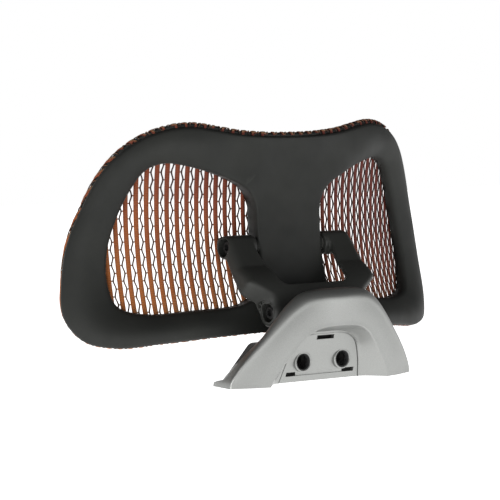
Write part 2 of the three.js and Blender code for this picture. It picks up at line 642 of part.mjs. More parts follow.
/** The pieces of one hinge, each as [name, geometry, material name], for a fork and its middle knuckle. */
function hingeHardware(name, place, knuckleEnd, seat) {
  const bore = SCREW_RADIUS + SCREW_CLEARANCE;
  const headFrom = -(seat + WASHER_THICKNESS + 2 * GAP);
  const headTo = headFrom - SCREW_HEAD_LENGTH;
  const springFrom = seat + WASHER_THICKNESS + 2 * GAP;
  const nutFrom = springFrom + DISC_SPRING_HEIGHT + GAP;
  const screwEnd = nutFrom + NUT_LENGTH + 0.5;
  const washer = (from) => sleeve(from, from + WASHER_THICKNESS, bore, WASHER_RADIUS);
  const friction = (from) => sleeve(from, from + FRICTION_THICKNESS, bore, UPPER_KNUCKLE_RADIUS - 0.5);
  const bush = (from) => sleeve(from, from + BUSH_LENGTH - GAP, bore, bore + BUSH_WALL);
  const screw = solid(turned([
    [headTo, 0], [headTo, SCREW_HEAD_RADIUS - 0.6], [headTo + 0.6, SCREW_HEAD_RADIUS],
    [headFrom, SCREW_HEAD_RADIUS], [headFrom, SCREW_RADIUS], [screwEnd - 0.5, SCREW_RADIUS],
    [screwEnd, SCREW_RADIUS - 0.5], [screwEnd, 0],
  ])).subtract(solid(hexPrism(headTo - 1, headTo + SCREW_SOCKET_DEPTH, SCREW_SOCKET_ACROSS_FLATS)));
  const nut = solid(hexPrism(nutFrom, nutFrom + NUT_LENGTH, NUT_ACROSS_FLATS))
    .subtract(solid(rod(nutFrom - 1, nutFrom + NUT_LENGTH + 1, bore)));
  const disc = turned([
    [springFrom, WASHER_RADIUS], [springFrom + DISC_SPRING_HEIGHT - DISC_SPRING_THICKNESS, bore],
    [springFrom + DISC_SPRING_HEIGHT, bore], [springFrom + DISC_SPRING_THICKNESS, WASHER_RADIUS],
    [springFrom, WASHER_RADIUS],
  ]);
  return [
    [`${name}_hinge_screw`, geometryOf(screw), 'steel'],
    [`${name}_hinge_nut`, geometryOf(nut), 'steel'],
    [`${name}_disc_spring`, disc, 'steel'],
    [`${name}_washer_left`, washer(-seat - GAP - WASHER_THICKNESS), 'steel'],
    [`${name}_washer_right`, washer(seat + GAP), 'steel'],
    [`${name}_friction_washer_left`, friction(-knuckleEnd - GAP - FRICTION_THICKNESS), 'bushing'],
    [`${name}_friction_washer_right`, friction(knuckleEnd + GAP), 'bushing'],
    [`${name}_bush_left`, bush(-knuckleEnd), 'bushing'],
    [`${name}_bush_right`, bush(knuckleEnd - BUSH_LENGTH + GAP), 'bushing'],
  ].map(([node, geometry, look]) => [node, place(geometry), look]);
}

// ---------------------------------------------------------------- bracket hood

/** Half arches as [share of half width, share of height], from the foot to the crown. */
const HOOD_ARCH = [
  [1, 0], [0.99, 0.07], [0.93, 0.2], [0.825, 0.37], [0.715, 0.53], [0.6, 0.7],
  [0.485, 0.85], [0.36, 0.955], [0.19, 0.995], [0, 1],
];
const SCOOP_ARCH = [
  [1, 0], [0.92, 0.22], [0.78, 0.46], [0.66, 0.66], [0.53, 0.84], [0.34, 0.96], [0, 1],
];
const PLATE_ARCH = [
  [1, 0], [0.93, 0.3], [0.82, 0.62], [0.72, 0.83], [0.52, 0.96], [0.3, 1], [0, 1],
];

/** Stations over an arch, from the right foot to the left one, closer together at the feet. */
function archStations(arch, halfWidth, height) {
  const right = arch.map(([x, h]) => new THREE.Vector3(x * halfWidth, h * height, 0));
  const left = right.slice(0, -1).reverse().map((p) => new THREE.Vector3(-p.x, p.y, 0));
  const curve = new THREE.CatmullRomCurve3([...right, ...left], false, 'centripetal');
  curve.arcLengthDivisions = CURVE_DIVISIONS;
  return Array.from({ length: ARCH_STATIONS + 1 }, (_, i) => {
    const share = i / ARCH_STATIONS;
    const pull = ARCH_CROWDING * Math.sin(2 * Math.PI * share) / (2 * Math.PI);
    const p = curve.getPointAt(THREE.MathUtils.clamp(share - pull, 0, 1));
    return [p.x, p.y];
  });
}

const hoodRear = (x) => HOOD_REAR_Y + HOOD_REAR_RADIUS - Math.sqrt(HOOD_REAR_RADIUS ** 2 - x * x);
const plateY = (height) => PLATE_Y - PLATE_LEAN * height;

/** Moves a path of [r, y] points sideways by a distance, with mitred corners. */
function offsetPath(path, distance) {
  const normals = path.slice(1).map(([r, y], i) => {
    const [dr, dy] = [r - path[i][0], y - path[i][1]];
    const length = Math.hypot(dr, dy);
    return [-dy / length, dr / length];
  });
  return path.map(([r, y], i) => {
    const [a, b] = [normals[Math.max(0, i - 1)], normals[Math.min(i, normals.length - 1)]];
    const mitre = Math.max(0.55, 1 + a[0] * b[0] + a[1] * b[1]);
    return [r + distance * (a[0] + b[0]) / mitre, y + distance * (a[1] + b[1]) / mitre];
  });
}

/** Sections of the hood's outer skin: [r, y] points, r outward from the bottom centre. */
function hoodSections() {
  const outer = archStations(HOOD_ARCH, HOOD_HALF_WIDTH, HOOD_HEIGHT);
  const rim = archStations(SCOOP_ARCH, SCOOP_HALF_WIDTH, SCOOP_HEIGHT);
  const plate = archStations(PLATE_ARCH, PLATE_HALF_WIDTH, PLATE_HEIGHT);
  return outer.map(([x, h], i) => {
    const length = Math.hypot(x, h);
    const direction = [x / length, h / length];
    const rise = h / HOOD_HEIGHT;
    const radius = THREE.MathUtils.lerp(HOOD_FOOT_ROUND, HOOD_CREST_ROUND, rise * rise);
    const side = HOOD_SIDE_DEPTH * Math.max(0, 1 - h / HOOD_SIDE_HEIGHT);
    const tab = THREE.MathUtils.smoothstep(-h, -1.6 * HOOD_TAB_HEIGHT, -HOOD_TAB_HEIGHT);
    const depth = THREE.MathUtils.lerp(HOOD_CREST_DEPTH + radius + side, HOOD_TAB_DEPTH, tab);
    const rear = hoodRear(x);
    const rimReach = Math.hypot(...rim[i]);
    const plateReach = Math.hypot(...plate[i]);
    const corner = arc(length - radius, rear + radius, radius, 270, 360, 4);
    const faceMiddle = 0.5 * (rimReach + length - radius);
    const sink = SCOOP_RIM_SINK * (1 - rim[i][1] / SCOOP_HEIGHT);
    const [plateEdge, rimEdge] = [plateY(plate[i][1]), hoodRear(rim[i][0]) + sink];
    const path = [
      [0.5 * plateReach, plateY(0.5 * plate[i][1])],
      [plateReach, plateEdge],
      [THREE.MathUtils.lerp(plateReach, rimReach, 0.6), THREE.MathUtils.lerp(plateEdge, rimEdge, 0.45)],
      [rimReach, rimEdge],
      [faceMiddle, hoodRear(direction[0] * faceMiddle) + sink / 2],
      ...corner,
      [length, rear + depth],
    ];
    return { direction, path };
  });
}

/** A shell over a half disc: the two skins, the front edge and the flat bottom. */
function halfDiscShell(sections, innerPathOf, pole, innerPole) {
  const place = ([x, h], [r, y]) => new THREE.Vector3(x * r, y, HOOD_BOTTOM_Z + h * r);
  const rows = sections.map(({ direction, path }) => [
    ...path.map((point) => place(direction, point)),
    ...innerPathOf(path).reverse().map((point) => place(direction, point)),
  ]);
  const count = rows[0].length;
  const half = count / 2;
  const points = [...rows.flat(), pole, innerPole];
  const [first, last] = [0, (rows.length - 1) * count];
  const [outerPole, backPole] = [rows.length * count, rows.length * count + 1];
  const triangles = [];
  for (let s = 0; s < rows.length - 1; s += 1) {
    const [a, b] = [s * count, (s + 1) * count];
    triangles.push(outerPole, b, a);
    triangles.push(backPole, a + count - 1, b + count - 1);
    for (let i = 0; i < count - 1; i += 1) {
      triangles.push(a + i, b + i, b + i + 1, a + i, b + i + 1, a + i + 1);
    }
  }
  for (const [start, flip] of [[first, false], [last, true]]) {
    const strip = [];
    for (let i = 0; i < half - 1; i += 1) {
      const [a, b, c, d] = [start + i, start + i + 1, start + count - 2 - i, start + count - 1 - i];
      strip.push([a, b, c], [a, c, d]);
    }
    strip.push([outerPole, start, start + count - 1], [outerPole, start + count - 1, backPole]);
    for (const [a, b, c] of strip) triangles.push(...(flip ? [b, a, c] : [a, b, c]));
  }
  return fromTriangles(points, triangles);
}

function hoodShell() {
  const flat = (path) => offsetPath(path, HOOD_WALL);
  const pole = new THREE.Vector3(0, plateY(0), HOOD_BOTTOM_Z);
  return halfDiscShell(hoodSections(), flat, pole, pole.clone().add(new THREE.Vector3(0, HOOD_WALL, 0)));
}

/** Everything in front of the hood's outer skin, to trim what stands on its inside. */
function hoodInside() {
  const far = HOOD_HALF_WIDTH;
  const pole = new THREE.Vector3(0, plateY(0), HOOD_BOTTOM_Z);
  const pushed = (path) => path.map(([r, y]) => [r, y + far]);
  return halfDiscShell(hoodSections(), pushed, pole, pole.clone().add(new THREE.Vector3(0, far, 0)));
}

/** A slot through the plate: [width, height] at a height above the hood's bottom. */
function plateSlot(x, height, [width, tall], from, to) {
  const z = HOOD_BOTTOM_Z + height;
  const y = plateY(height);
  return new THREE.BoxGeometry(width, to - from, tall).translate(x, y + (from + to) / 2, z);
}

function makeHood() {
  const holes = [-1, 1].map((side) => side * CHAIR_HOLE_SPACING / 2);
  const inside = solid(hoodInside());
  const holeY = plateY(-HOOD_BOTTOM_Z);
  const bossRadius = HOOD_SCREW_RADIUS + GAP + HOOD_BOSS_WALL;
  const bossEnd = CORE_REAR_Y - GAP;
  let hood = solid(hoodShell());
  for (const x of holes) {
    const rim = sleeve(holeY - 2.2, holeY + HOOD_WALL, CHAIR_HOLE_RADIUS, CHAIR_HOLE_RADIUS + CHAIR_HOLE_RIM);
    const bore = rod(HOOD_REAR_Y, CORE_SEAT_Y, CHAIR_HOLE_RADIUS);
    hood = hood.add(solid(alongY(rim, x, 0)));
    hood = hood.subtract(solid(alongY(bore, x, 0)));
  }
  const gutterEnd = (GUTTER[0] - GUTTER_SLOT_WIDTH) / 2;
  hood = hood.subtract(solid(plateSlot(0, TOP_SLOT_HEIGHT, TOP_SLOT, -5, 9)));
  hood = hood.subtract(solid(plateSlot(0, GUTTER_HEIGHT, GUTTER, -9, GUTTER_DEPTH)));
  for (const side of [-1, 1]) {
    const slot = plateSlot(side * gutterEnd, GUTTER_HEIGHT, [GUTTER_SLOT_WIDTH, GUTTER[1]], -9, 9);
    const boss = alongY(rod(HOOD_REAR_Y, bossEnd, bossRadius), side * HOOD_SCREW_X, HOOD_SCREW_Z);
    const hole = rod(bossEnd - HOOD_BOSS_HOLE_DEPTH, CORE_SEAT_Y, HOOD_SCREW_RADIUS + GAP);
    const pilot = alongY(hole, side * HOOD_SCREW_X, HOOD_SCREW_Z);
    hood = hood.subtract(solid(slot));
    hood = hood.add(solid(boss).intersect(inside));
    hood = hood.subtract(solid(pilot));
  }
  return geometryOf(hood);
}

// ---------------------------------------------------------------- bracket core

/** The block's rear view: a flat-bottomed trapezium with round upper corners. */
function coreOutline() {
  const slope = (CORE_HALF_WIDTH - CORE_TOP_HALF_WIDTH) / (CORE_TOP_Z - CORE_BOTTOM_Z);
  const lean = Math.atan(slope);
  const centreX = CORE_TOP_HALF_WIDTH + slope * CORE_CORNER - CORE_CORNER / Math.cos(lean);
  const corner = arc(centreX, CORE_TOP_Z - CORE_CORNER, CORE_CORNER, THREE.MathUtils.radToDeg(lean), 90, 4);
  const right = [[CORE_HALF_WIDTH, CORE_BOTTOM_Z], ...corner];
  return [...right, ...right.toReversed().map(([x, z]) => [-x, z])];
}

function makeCore() {
  const knuckle = LOWER_KNUCKLE_RADIUS;
  const neck = [
    [CORE_REAR_Y, 0], [CORE_REAR_Y + NECK_DEPTH, 0],
    ...arc(LOWER_Y, LOWER_Z, knuckle, -8, 200, 12),
  ];
  const end = LOWER_KNUCKLE_HALF_WIDTH;
  const bore = SCREW_RADIUS + SCREW_CLEARANCE;
  const drilled = (x, z, radius, to) => alongY(rod(2 * HOOD_REAR_Y, to, radius), x, z);
  let core = solid(extrudedAlongY(coreOutline(), CORE_REAR_Y, CORE_SEAT_Y));
  core = core.add(solid(extrudedAlongX(neck, -end, end)));
  core = core.add(solid(atLower(rod(-end, end, knuckle, LARGE_ROUND_SEGMENTS))));
  core = core.subtract(solid(atLower(rod(-2 * end, 2 * end, bore))));
  for (const side of [-1, 1]) {
    const holeX = side * CHAIR_HOLE_SPACING / 2;
    const screwX = side * HOOD_SCREW_X;
    const sink = rod(CORE_SEAT_Y - HOOD_SCREW_SINK, CUT_MARGIN, HOOD_SCREW_HEAD_RADIUS + GAP);
    const bushSeat = rod(side * (end - BUSH_LENGTH), side * 2 * end, bore + BUSH_WALL + GAP);
    core = core.subtract(solid(atLower(bushSeat)));
    core = core.subtract(solid(drilled(holeX, 0, CHAIR_SCREW_HOLE_RADIUS, CUT_MARGIN)));
    core = core.subtract(solid(drilled(holeX, 0, CHAIR_HOLE_RADIUS, CORE_REAR_Y / 2)));
    core = core.subtract(solid(drilled(screwX, HOOD_SCREW_Z, HOOD_SCREW_RADIUS + GAP, CUT_MARGIN)));
    core = core.subtract(solid(alongY(sink, screwX, HOOD_SCREW_Z)));
  }
  return geometryOf(core);
}

function makeHoodScrew(side) {
  const headBack = CORE_SEAT_Y - HOOD_SCREW_SINK + GAP;
  const tip = CORE_REAR_Y - GAP - HOOD_BOSS_HOLE_DEPTH + 1;
  const body = solid(turned([
    [tip, 0], [tip + 2, HOOD_SCREW_RADIUS], [headBack, HOOD_SCREW_RADIUS], [headBack, HOOD_SCREW_HEAD_RADIUS],
    [headBack + 0.6 * HOOD_SCREW_HEAD_LENGTH, HOOD_SCREW_HEAD_RADIUS],
    [headBack + HOOD_SCREW_HEAD_LENGTH, 0.6 * HOOD_SCREW_HEAD_RADIUS], [headBack + HOOD_SCREW_HEAD_LENGTH, 0],
  ], 16));
  const slot = [[5, 1], [1, 5]].map(([wide, tall]) => (
    new THREE.BoxGeometry(2.4, wide, tall).translate(headBack + HOOD_SCREW_HEAD_LENGTH, 0, 0)));
  const cut = body.subtract(solid(slot[0])).subtract(solid(slot[1]));
  return alongY(geometryOf(cut), side * HOOD_SCREW_X, HOOD_SCREW_Z);
}

// ---------------------------------------------------------------- assembly

const LOOKS = {
  silver: { color: 0xb4b6b3, roughness: 0.45, metalness: 0.35 },
  black: { color: 0x2e2f2d, roughness: 0.6, metalness: 0 },
  core: { color: 0x3a3a38, roughness: 0.7, metalness: 0 },
  fabric: { color: 0x7a4a33, roughness: 0.85, metalness: 0 },
  spline: { color: 0x1f1f1f, roughness: 0.7, metalness: 0 },
  steel: { color: 0x8d8f92, roughness: 0.35, metalness: 0.9 },
  bushing: { color: 0x4a4a46, roughness: 0.6, metalness: 0 },
};

const group = new THREE.Group();

function addPiece(name, geometry, look) {
  const mesh = new THREE.Mesh(tidied(geometry), new THREE.MeshStandardMaterial(LOOKS[look]));
  mesh.name = name;
  group.add(mesh);
}

addPiece('bracket_hood', makeHood(), 'silver');
addPiece('bracket_core', makeCore(), 'core');
addPiece('hood_screw_left', makeHoodScrew(-1), 'steel');
addPiece('hood_screw_right', makeHoodScrew(1), 'steel');
addPiece('arm', makeArm(), 'black');
addPiece('rear_frame', makeRearFrame(), 'black');
addPiece('mesh_carrier', makeCarrier(), 'black');
addPiece('mesh_spline', makeSpline(), 'spline');
addPiece('mesh_fabric', makeFabric(), 'fabric');

const upperKnuckleEnd = RIB_HALF_WIDTH + UPPER_KNUCKLE_OVERHANG;
const hinges = [
  ...hingeHardware('upper', atUpper, upperKnuckleEnd, HEAD_OUTER_X - UPPER_RECESS_DEPTH),
  ...hingeHardware('lower', atLower, LOWER_KNUCKLE_HALF_WIDTH, BARREL_OUTER_X - LOWER_RECESS_DEPTH),
];
for (const [name, geometry, look] of hinges) addPiece(name, geometry, look);

export default group;
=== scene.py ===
"""Mesh headrest attachment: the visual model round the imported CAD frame. Helpers work in millimetres."""
import math

import bmesh
import bpy
import numpy as np
from mathutils import Matrix, Vector


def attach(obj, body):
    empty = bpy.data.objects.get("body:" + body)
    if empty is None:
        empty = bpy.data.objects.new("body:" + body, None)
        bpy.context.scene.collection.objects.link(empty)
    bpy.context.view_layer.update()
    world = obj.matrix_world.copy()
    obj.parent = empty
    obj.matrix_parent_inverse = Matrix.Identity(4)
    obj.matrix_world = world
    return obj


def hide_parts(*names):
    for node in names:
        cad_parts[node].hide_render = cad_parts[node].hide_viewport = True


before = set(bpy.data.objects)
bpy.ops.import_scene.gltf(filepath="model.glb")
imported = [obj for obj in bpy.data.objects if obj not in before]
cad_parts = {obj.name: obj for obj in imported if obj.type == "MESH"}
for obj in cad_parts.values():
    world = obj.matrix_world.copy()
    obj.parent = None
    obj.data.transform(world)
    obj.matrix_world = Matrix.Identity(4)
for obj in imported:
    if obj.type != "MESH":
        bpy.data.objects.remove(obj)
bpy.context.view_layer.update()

MM = 0.001

# ------------------------------------------------------------ dimensions in millimetres, most as in the CAD

GAP = 0.3
PAD_HALF_WIDTH, PAD_RISE, PAD_DROP = 184, 69, 95
PAD_RADIUS, PAD_PROFILE_RADIUS, PAD_PROFILE_APEX = 270, 280, 14
PAD_CENTRE_Y, PAD_CENTRE_Z = 9, 107
RIB_HALF_WIDTH, SIDE_BORDER, TOP_BORDER, BOTTOM_BORDER = 30, 33, 27.5, 24.5
FRAME_CROWN, FRAME_INNER_DEPTH, FRAME_OUTER_DEPTH = 5, 1.5, -1
FRAME_EDGE_ROUND, FRAME_FRONT_GAP = 2.4, 2.3
CROWN_FROM, CROWN_FULL = 20, 90  # distances from the middle between which the crown comes in
LEDGE_OVERLAP, LEDGE_LIMIT = 1, 0.8  # of the step that the ring lies on, and its share of a narrow border
FABRIC_THICKNESS, FABRIC_TAIL, FABRIC_SET_BACK = 0.7, 8, 0.6
FABRIC_SIDE_OVERHANG, FABRIC_TOP_OVERHANG = 0.8, 2.8
BEAD_RADIUS, BEAD_DEPTH, CARRIER_WIDTH, CARRIER_THICKNESS = 2.3, 4.6, 12, 2
BEAD_INSET = BEAD_RADIUS + GAP + FABRIC_THICKNESS
FABRIC_EDGE_DEPTH = BEAD_DEPTH + BEAD_INSET
SCREW_BORE = 3.3
BUSH_SEAT, BUSH_LENGTH = 5.0, 14
FRICTION_THICKNESS, BARREL_SLOT_CLEARANCE = 1, 1.5
UPPER_AHEAD, UPPER_BELOW = 5, 22.5
UPPER, LOWER = (PAD_CENTRE_Y + UPPER_AHEAD, PAD_CENTRE_Z - UPPER_BELOW), (-23, 37.5)
KNUCKLE_END, UPPER_KNUCKLE_RADIUS, KNUCKLE_CHAMFER = 31, 6.6, 0.5
HEAD_RADIUS, HEAD_OUTER_X, UPPER_RECESS_DEPTH, SCREW_RECESS_RADIUS = 9, 59, 12, 6.8
FABRIC_BULGE = UPPER_AHEAD + HEAD_RADIUS - BEAD_DEPTH - FABRIC_SET_BACK
LOWER_KNUCKLE_HALF_WIDTH, BARREL_RADIUS, BARREL_OUTER_X, LOWER_RECESS_DEPTH = 24, 11, 44, 10
GROOVE_WIDTH, GROOVE_DEPTH = 1.2, 0.8
ARM_HALF_WIDTH, ARM_SHOULDER, ARM_WEB, ARM_WEB_FADE, ARM_WAIST = 60, 21, 4.5, 4, 3
ARM_FLANGE, ARM_FLANGE_SLOPE, ARM_ELBOW, ARM_ELBOW_LENGTH = 9, 3, 4.5, 36
ARM_EDGE_ROUND, ARM_FRONT_ROUND = 6, 2.5
ARM_EDGE_SHARE, ARM_FRONT_SHARE = 0.6, 0.3  # of the arm's thickness that a round takes at most
ARM_GAP_HALF_WIDTH, ARM_GAP_FOOT_HALF_WIDTH, ARM_GAP_FLOOR, ARM_GAP_CORNER = 36.5, 33, 15, 9
HOOD_BOTTOM_Z, HOOD_HALF_WIDTH, HOOD_HEIGHT = -15.5, 85.5, 71.5
HOOD_REAR_Y, HOOD_REAR_RADIUS, HOOD_WALL = -57, 170, 2.8
HOOD_TAB_DEPTH, HOOD_TAB_HEIGHT, HOOD_TAB_FADE = 23, 3.5, 1.6
HOOD_SIDE_DEPTH, HOOD_SIDE_HEIGHT = 11, 37
HOOD_CREST_DEPTH, HOOD_FOOT_ROUND, HOOD_CREST_ROUND = 1, 2.5, 9
SCOOP_HALF_WIDTH, SCOOP_HEIGHT, SCOOP_RIM_SINK = 55, 44, 5
PLATE_HALF_WIDTH, PLATE_HEIGHT = 38, 37
PLATE_Y, PLATE_LEAN = -28, 0.26
HOLE_X, HOLE_RADIUS, HOLE_RIM = 18.5, 6.35, 1.4
TOP_SLOT, TOP_SLOT_HEIGHT = (16, 3.2), 33.5
GUTTER, GUTTER_HEIGHT, GUTTER_DEPTH, GUTTER_SLOT_WIDTH = (64, 3.2), 6.3, 1.4, 10
CORE_REAR_Y, HOOD_SCREW_X, HOOD_SCREW_Z = -23.5, 47, -5.5
BOSS_REAR_Y, BOSS_RADIUS, BOSS_FLOOR, PILOT_RADIUS = -33, 4.9, 1, 2.3
CREASE_MARGIN = 0.9  # that the plate's face stops short of its edge
CREASE = [(-0.8, 0.55), (-0.15, 0.55), (0, -0.3), (0.7, -0.35)]  # a groove and a lip round the plate
RIM_EDGE = [(-0.2, 0.35), (0.2, -0.12), (1.1, -0.1)]  # the crisp edge round the scoop
SCOOP_BOW, FACE_BOW = 1.56, 4  # powers of the curves beside that edge
HOLE_CUT_Y = (-60, 5)  # behind and in front of the whole hood
BORE_CUT_START, BORE_CUT_END = 10, 90  # both in the open, on the two sides of a head
TOP_SLOT_CUT, GUTTER_CUT = 14, 9  # lengths of the cutters along Y

OUTLINE = [
    (0, -0.9), (0.375, -0.925), (0.625, -0.965), (0.83, -0.995), (0.955, -0.94), (1.018, -0.77),
    (1.008, -0.49), (0.97, -0.19), (0.915, 0.07), (0.845, 0.43), (0.775, 0.67), (0.68, 0.86),
    (0.57, 0.97), (0.465, 1), (0.365, 0.965), (0.27, 0.92), (0.15, 0.89), (0, 0.88),
]
WINDOW = [
    (0, 0.56), (0.01, 0.72), (0.07, 0.82), (0.26, 0.92), (0.48, 0.985), (0.62, 1), (0.73, 0.955),
    (0.82, 0.83), (0.91, 0.64), (0.98, 0.42), (1, 0.2), (0.955, 0.05), (0.8, 0),
    (0.48, 0.015), (0.14, 0.05), (0.03, 0.13), (0, 0.3),
]
HOOD_ARCH = [
    (1, 0), (0.99, 0.07), (0.93, 0.2), (0.825, 0.37), (0.715, 0.53), (0.6, 0.7),
    (0.485, 0.85), (0.36, 0.955), (0.19, 0.995), (0, 1),
]
SCOOP_ARCH = [(1, 0), (0.92, 0.22), (0.78, 0.46), (0.66, 0.66), (0.53, 0.84), (0.34, 0.96), (0, 1)]
PLATE_ARCH = [(1, 0), (0.93, 0.3), (0.82, 0.62), (0.72, 0.83), (0.52, 0.96), (0.3, 1), (0, 1)]

# ------------------------------------------------------------ curves

SPLINE_STEPS = 40  # between two points of a curve, before it is spaced evenly


def lerp(a, b, t):
    return a + (b - a) * t


def smoothstep(x, low, high):
    t = min(1.0, max(0.0, (x - low) / (high - low)))
    return t * t * (3 - 2 * t)


def spline(points, count, closed):
    """Centripetal Catmull-Rom curve through the points, evenly spaced by length."""
    pts = np.array(points, float)
    n = len(pts)
    spans = n if closed else n - 1
    dense = []
    for i in range(spans):
        p1, p2 = pts[i % n], pts[(i + 1) % n]
        p0 = pts[(i - 1) % n] if closed or i > 0 else 2 * p1 - p2
        p3 = pts[(i + 2) % n] if closed or i + 2 < n else 2 * p2 - p1
        chords = ((p0, p1), (p1, p2), (p2, p3))
        d0, d1, d2 = (max(1e-4, math.sqrt(np.linalg.norm(b - a))) for a, b in chords)
        m1 = ((p1 - p0) / d0 - (p2 - p0) / (d0 + d1) + (p2 - p1) / d1) * d1
        m2 = ((p2 - p1) / d1 - (p3 - p1) / (d1 + d2) + (p3 - p2) / d2) * d1
        for t in np.linspace(0, 1, SPLINE_STEPS, endpoint=False):
            a, b = 2 * t**3 - 3 * t**2 + 1, t**3 - 2 * t**2 + t
            c, d = -2 * t**3 + 3 * t**2, t**3 - t**2
            dense.append(a * p1 + b * m1 + c * p2 + d * m2)
    dense.append(pts[0] if closed else pts[-1])
    dense = np.array(dense)
    run = np.concatenate([[0], np.cumsum(np.linalg.norm(np.diff(dense, axis=0), axis=1))])
    at = np.linspace(0, run[-1], count + 1)
    out = np.stack([np.interp(at, run, dense[:, k]) for k in range(dense.shape[1])], axis=1)
    return out[:-1] if closed else out


def arc(x, y, radius, start, end, steps):
    angles = np.radians(np.linspace(start, end, steps + 1))
    return [(x + radius * math.cos(a), y + radius * math.sin(a)) for a in angles]


# ------------------------------------------------------------ meshes


def piece(name, points, faces, body, slot, material):
    """A mesh object from points in millimetres, riding on a body."""
    mesh = bpy.data.meshes.new(name)
    mesh.from_pydata([tuple(float(c) * MM for c in p) for p in points], [], [tuple(f) for f in faces])
    bm = bmesh.new()
    bm.from_mesh(mesh)
    bmesh.ops.remove_doubles(bm, verts=bm.verts, dist=1e-6)
    bmesh.ops.recalc_face_normals(bm, faces=bm.faces)
    bm.to_mesh(mesh)
    bm.free()
    mesh.polygons.foreach_set("use_smooth", [True] * len(mesh.polygons))
    obj = bpy.data.objects.new(name, mesh)
    bpy.context.scene.collection.objects.link(obj)
    if material:
        mesh.materials.append(material)
    if body:
        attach(obj, body)
    return obj


def ring_skin(rings, caps=None):
    """Points and faces of a skin through closed rings, joined end to end or closed by two points."""
    rings = [list(r) for r in rings]
    count = len(rings[0])
    points = [p for ring in rings for p in ring]
    faces = []
    last = len(rings) - 1 if caps else len(rings)
    for r in range(last):
        a, b = r * count, (r + 1) % len(rings) * count
        faces += [(a + i, a + (i + 1) % count, b + (i + 1) % count, b + i) for i in range(count)]
    if caps:
        low, high = len(points), len(points) + 1
        top = (len(rings) - 1) * count
        points += list(caps)
        faces += [(low, (i + 1) % count, i) for i in range(count)]
        faces += [(high, top + i, top + (i + 1) % count) for i in range(count)]
    return points, faces


def turned(profile, centre, axis="x", segments=64):
    """A closed profile of (along, radius) turned round an axis through centre (x, y, z)."""
    rings = []
    for along, radius in profile:
        ring = []
        for k in range(segments):
            a = 2 * math.pi * k / segments
            c, s = radius * math.cos(a), radius * math.sin(a)
            offset = (along, c, s) if axis == "x" else (c, along, s)
            ring.append(tuple(o + p for o, p in zip(offset, centre)))
        rings.append(ring)
    return ring_skin(rings)


def rod(start, end, radius, centre, axis="x", segments=64):
    return turned([(start, 1e-3), (start, radius), (end, radius), (end, 1e-3)], centre, axis, segments)


def boolean(obj, cutter, operation="DIFFERENCE"):
    """Applies one exact boolean at once and removes the cutter."""
    modifier = obj.modifiers.new("cut", "BOOLEAN")
    modifier.operation = operation
    modifier.solver = "EXACT"
    modifier.object = cutter
    bake(obj)
    bpy.data.objects.remove(cutter)


def bake(obj):
    """Applies all modifiers of an object to its mesh."""
    bpy.context.view_layer.update()
    done = bpy.data.meshes.new_from_object(obj.evaluated_get(bpy.context.evaluated_depsgraph_get()))
    obj.modifiers.clear()
    old, obj.data = obj.data, done
    done.name = obj.name
    bpy.data.meshes.remove(old)


def cutter(points_faces):
    return piece("cutter", *points_faces, None, None, None)


def block(centre, size):
    """Points and faces of a cutting block."""
    corners = [tuple(c + s * h / 2 for c, s, h in zip(centre, signs, size))
               for signs in ((-1, -1, -1), (1, -1, -1), (1, 1, -1), (-1, 1, -1),
                             (-1, -1, 1), (1, -1, 1), (1, 1, 1), (-1, 1, 1))]
    return corners, [(0, 3, 2, 1), (4, 5, 6, 7), (0, 1, 5, 4), (1, 2, 6, 5), (2, 3, 7, 6), (3, 0, 4, 7)]


def softened(obj, voxel, passes):
    """Remeshes a cut solid and smooths it, so its edges are rounded like a casting's."""
    remesh = obj.modifiers.new("remesh", "REMESH")
    remesh.mode = "VOXEL"
    remesh.voxel_size = voxel * MM
    smooth = obj.modifiers.new("smooth", "SMOOTH")
    smooth.factor = 0.5
    smooth.iterations = passes
    bake(obj)
    obj.data.polygons.foreach_set("use_smooth", [True] * len(obj.data.polygons))


def edge_bevel(obj, width, angle):
    """Gives small round edges to the faces that meet at more than an angle in degrees."""
    bevel = obj.modifiers.new("edge", "BEVEL")
    bevel.width = width * MM
    bevel.segments = 2
    bevel.limit_method = "ANGLE"
    bevel.angle_limit = math.radians(angle)


# ------------------------------------------------------------ materials


def material(name, color, roughness, metallic=0.0, **sockets):
    mat = bpy.data.materials.new(name)
    mat.use_nodes = True
    shader = mat.node_tree.nodes["Principled BSDF"]
    shader.inputs["Base Color"].default_value = (*color, 1)
    shader.inputs["Roughness"].default_value = roughness
    shader.inputs["Metallic"].default_value = metallic
    for key, value in sockets.items():
        shader.inputs[key.replace("_", " ")].default_value = value
    return mat


def node(mat, kind, **inputs):
    made = mat.node_tree.nodes.new(kind)
    for key, value in inputs.items():
        made.inputs[key].default_value = value
    return made


def link(mat, a, b):
    mat.node_tree.links.new(a, b)


def object_coordinates(mat):
    return node(mat, "ShaderNodeTexCoord").outputs["Object"]


def noise(mat, scale, detail=3.0, vector=None):
    made = node(mat, "ShaderNodeTexNoise", Scale=scale, Detail=detail)
    link(mat, vector or object_coordinates(mat), made.inputs["Vector"])
    return made.outputs["Fac"]


def ramp(mat, value, stops):
    """A colour ramp over a value: stops are (position, colour)."""
    made = node(mat, "ShaderNodeValToRGB")
    elements = made.color_ramp.elements
    while len(elements) < len(stops):
        elements.new(0.5)
    for element, (position, color) in zip(elements, stops):
        element.position = position
        element.color = (*color, 1)
    link(mat, value, made.inputs["Fac"])
    return made.outputs["Color"]


def maths(mat, operation, a, b=None):
    """One maths node over sockets or plain numbers."""
    made = node(mat, "ShaderNodeMath")
    made.operation = operation
    for k, value in enumerate((a, b)):
        if isinstance(value, bpy.types.NodeSocket):
            link(mat, value, made.inputs[k])
        elif value is not None:
            made.inputs[k].default_value = value
    return made.outputs[0]


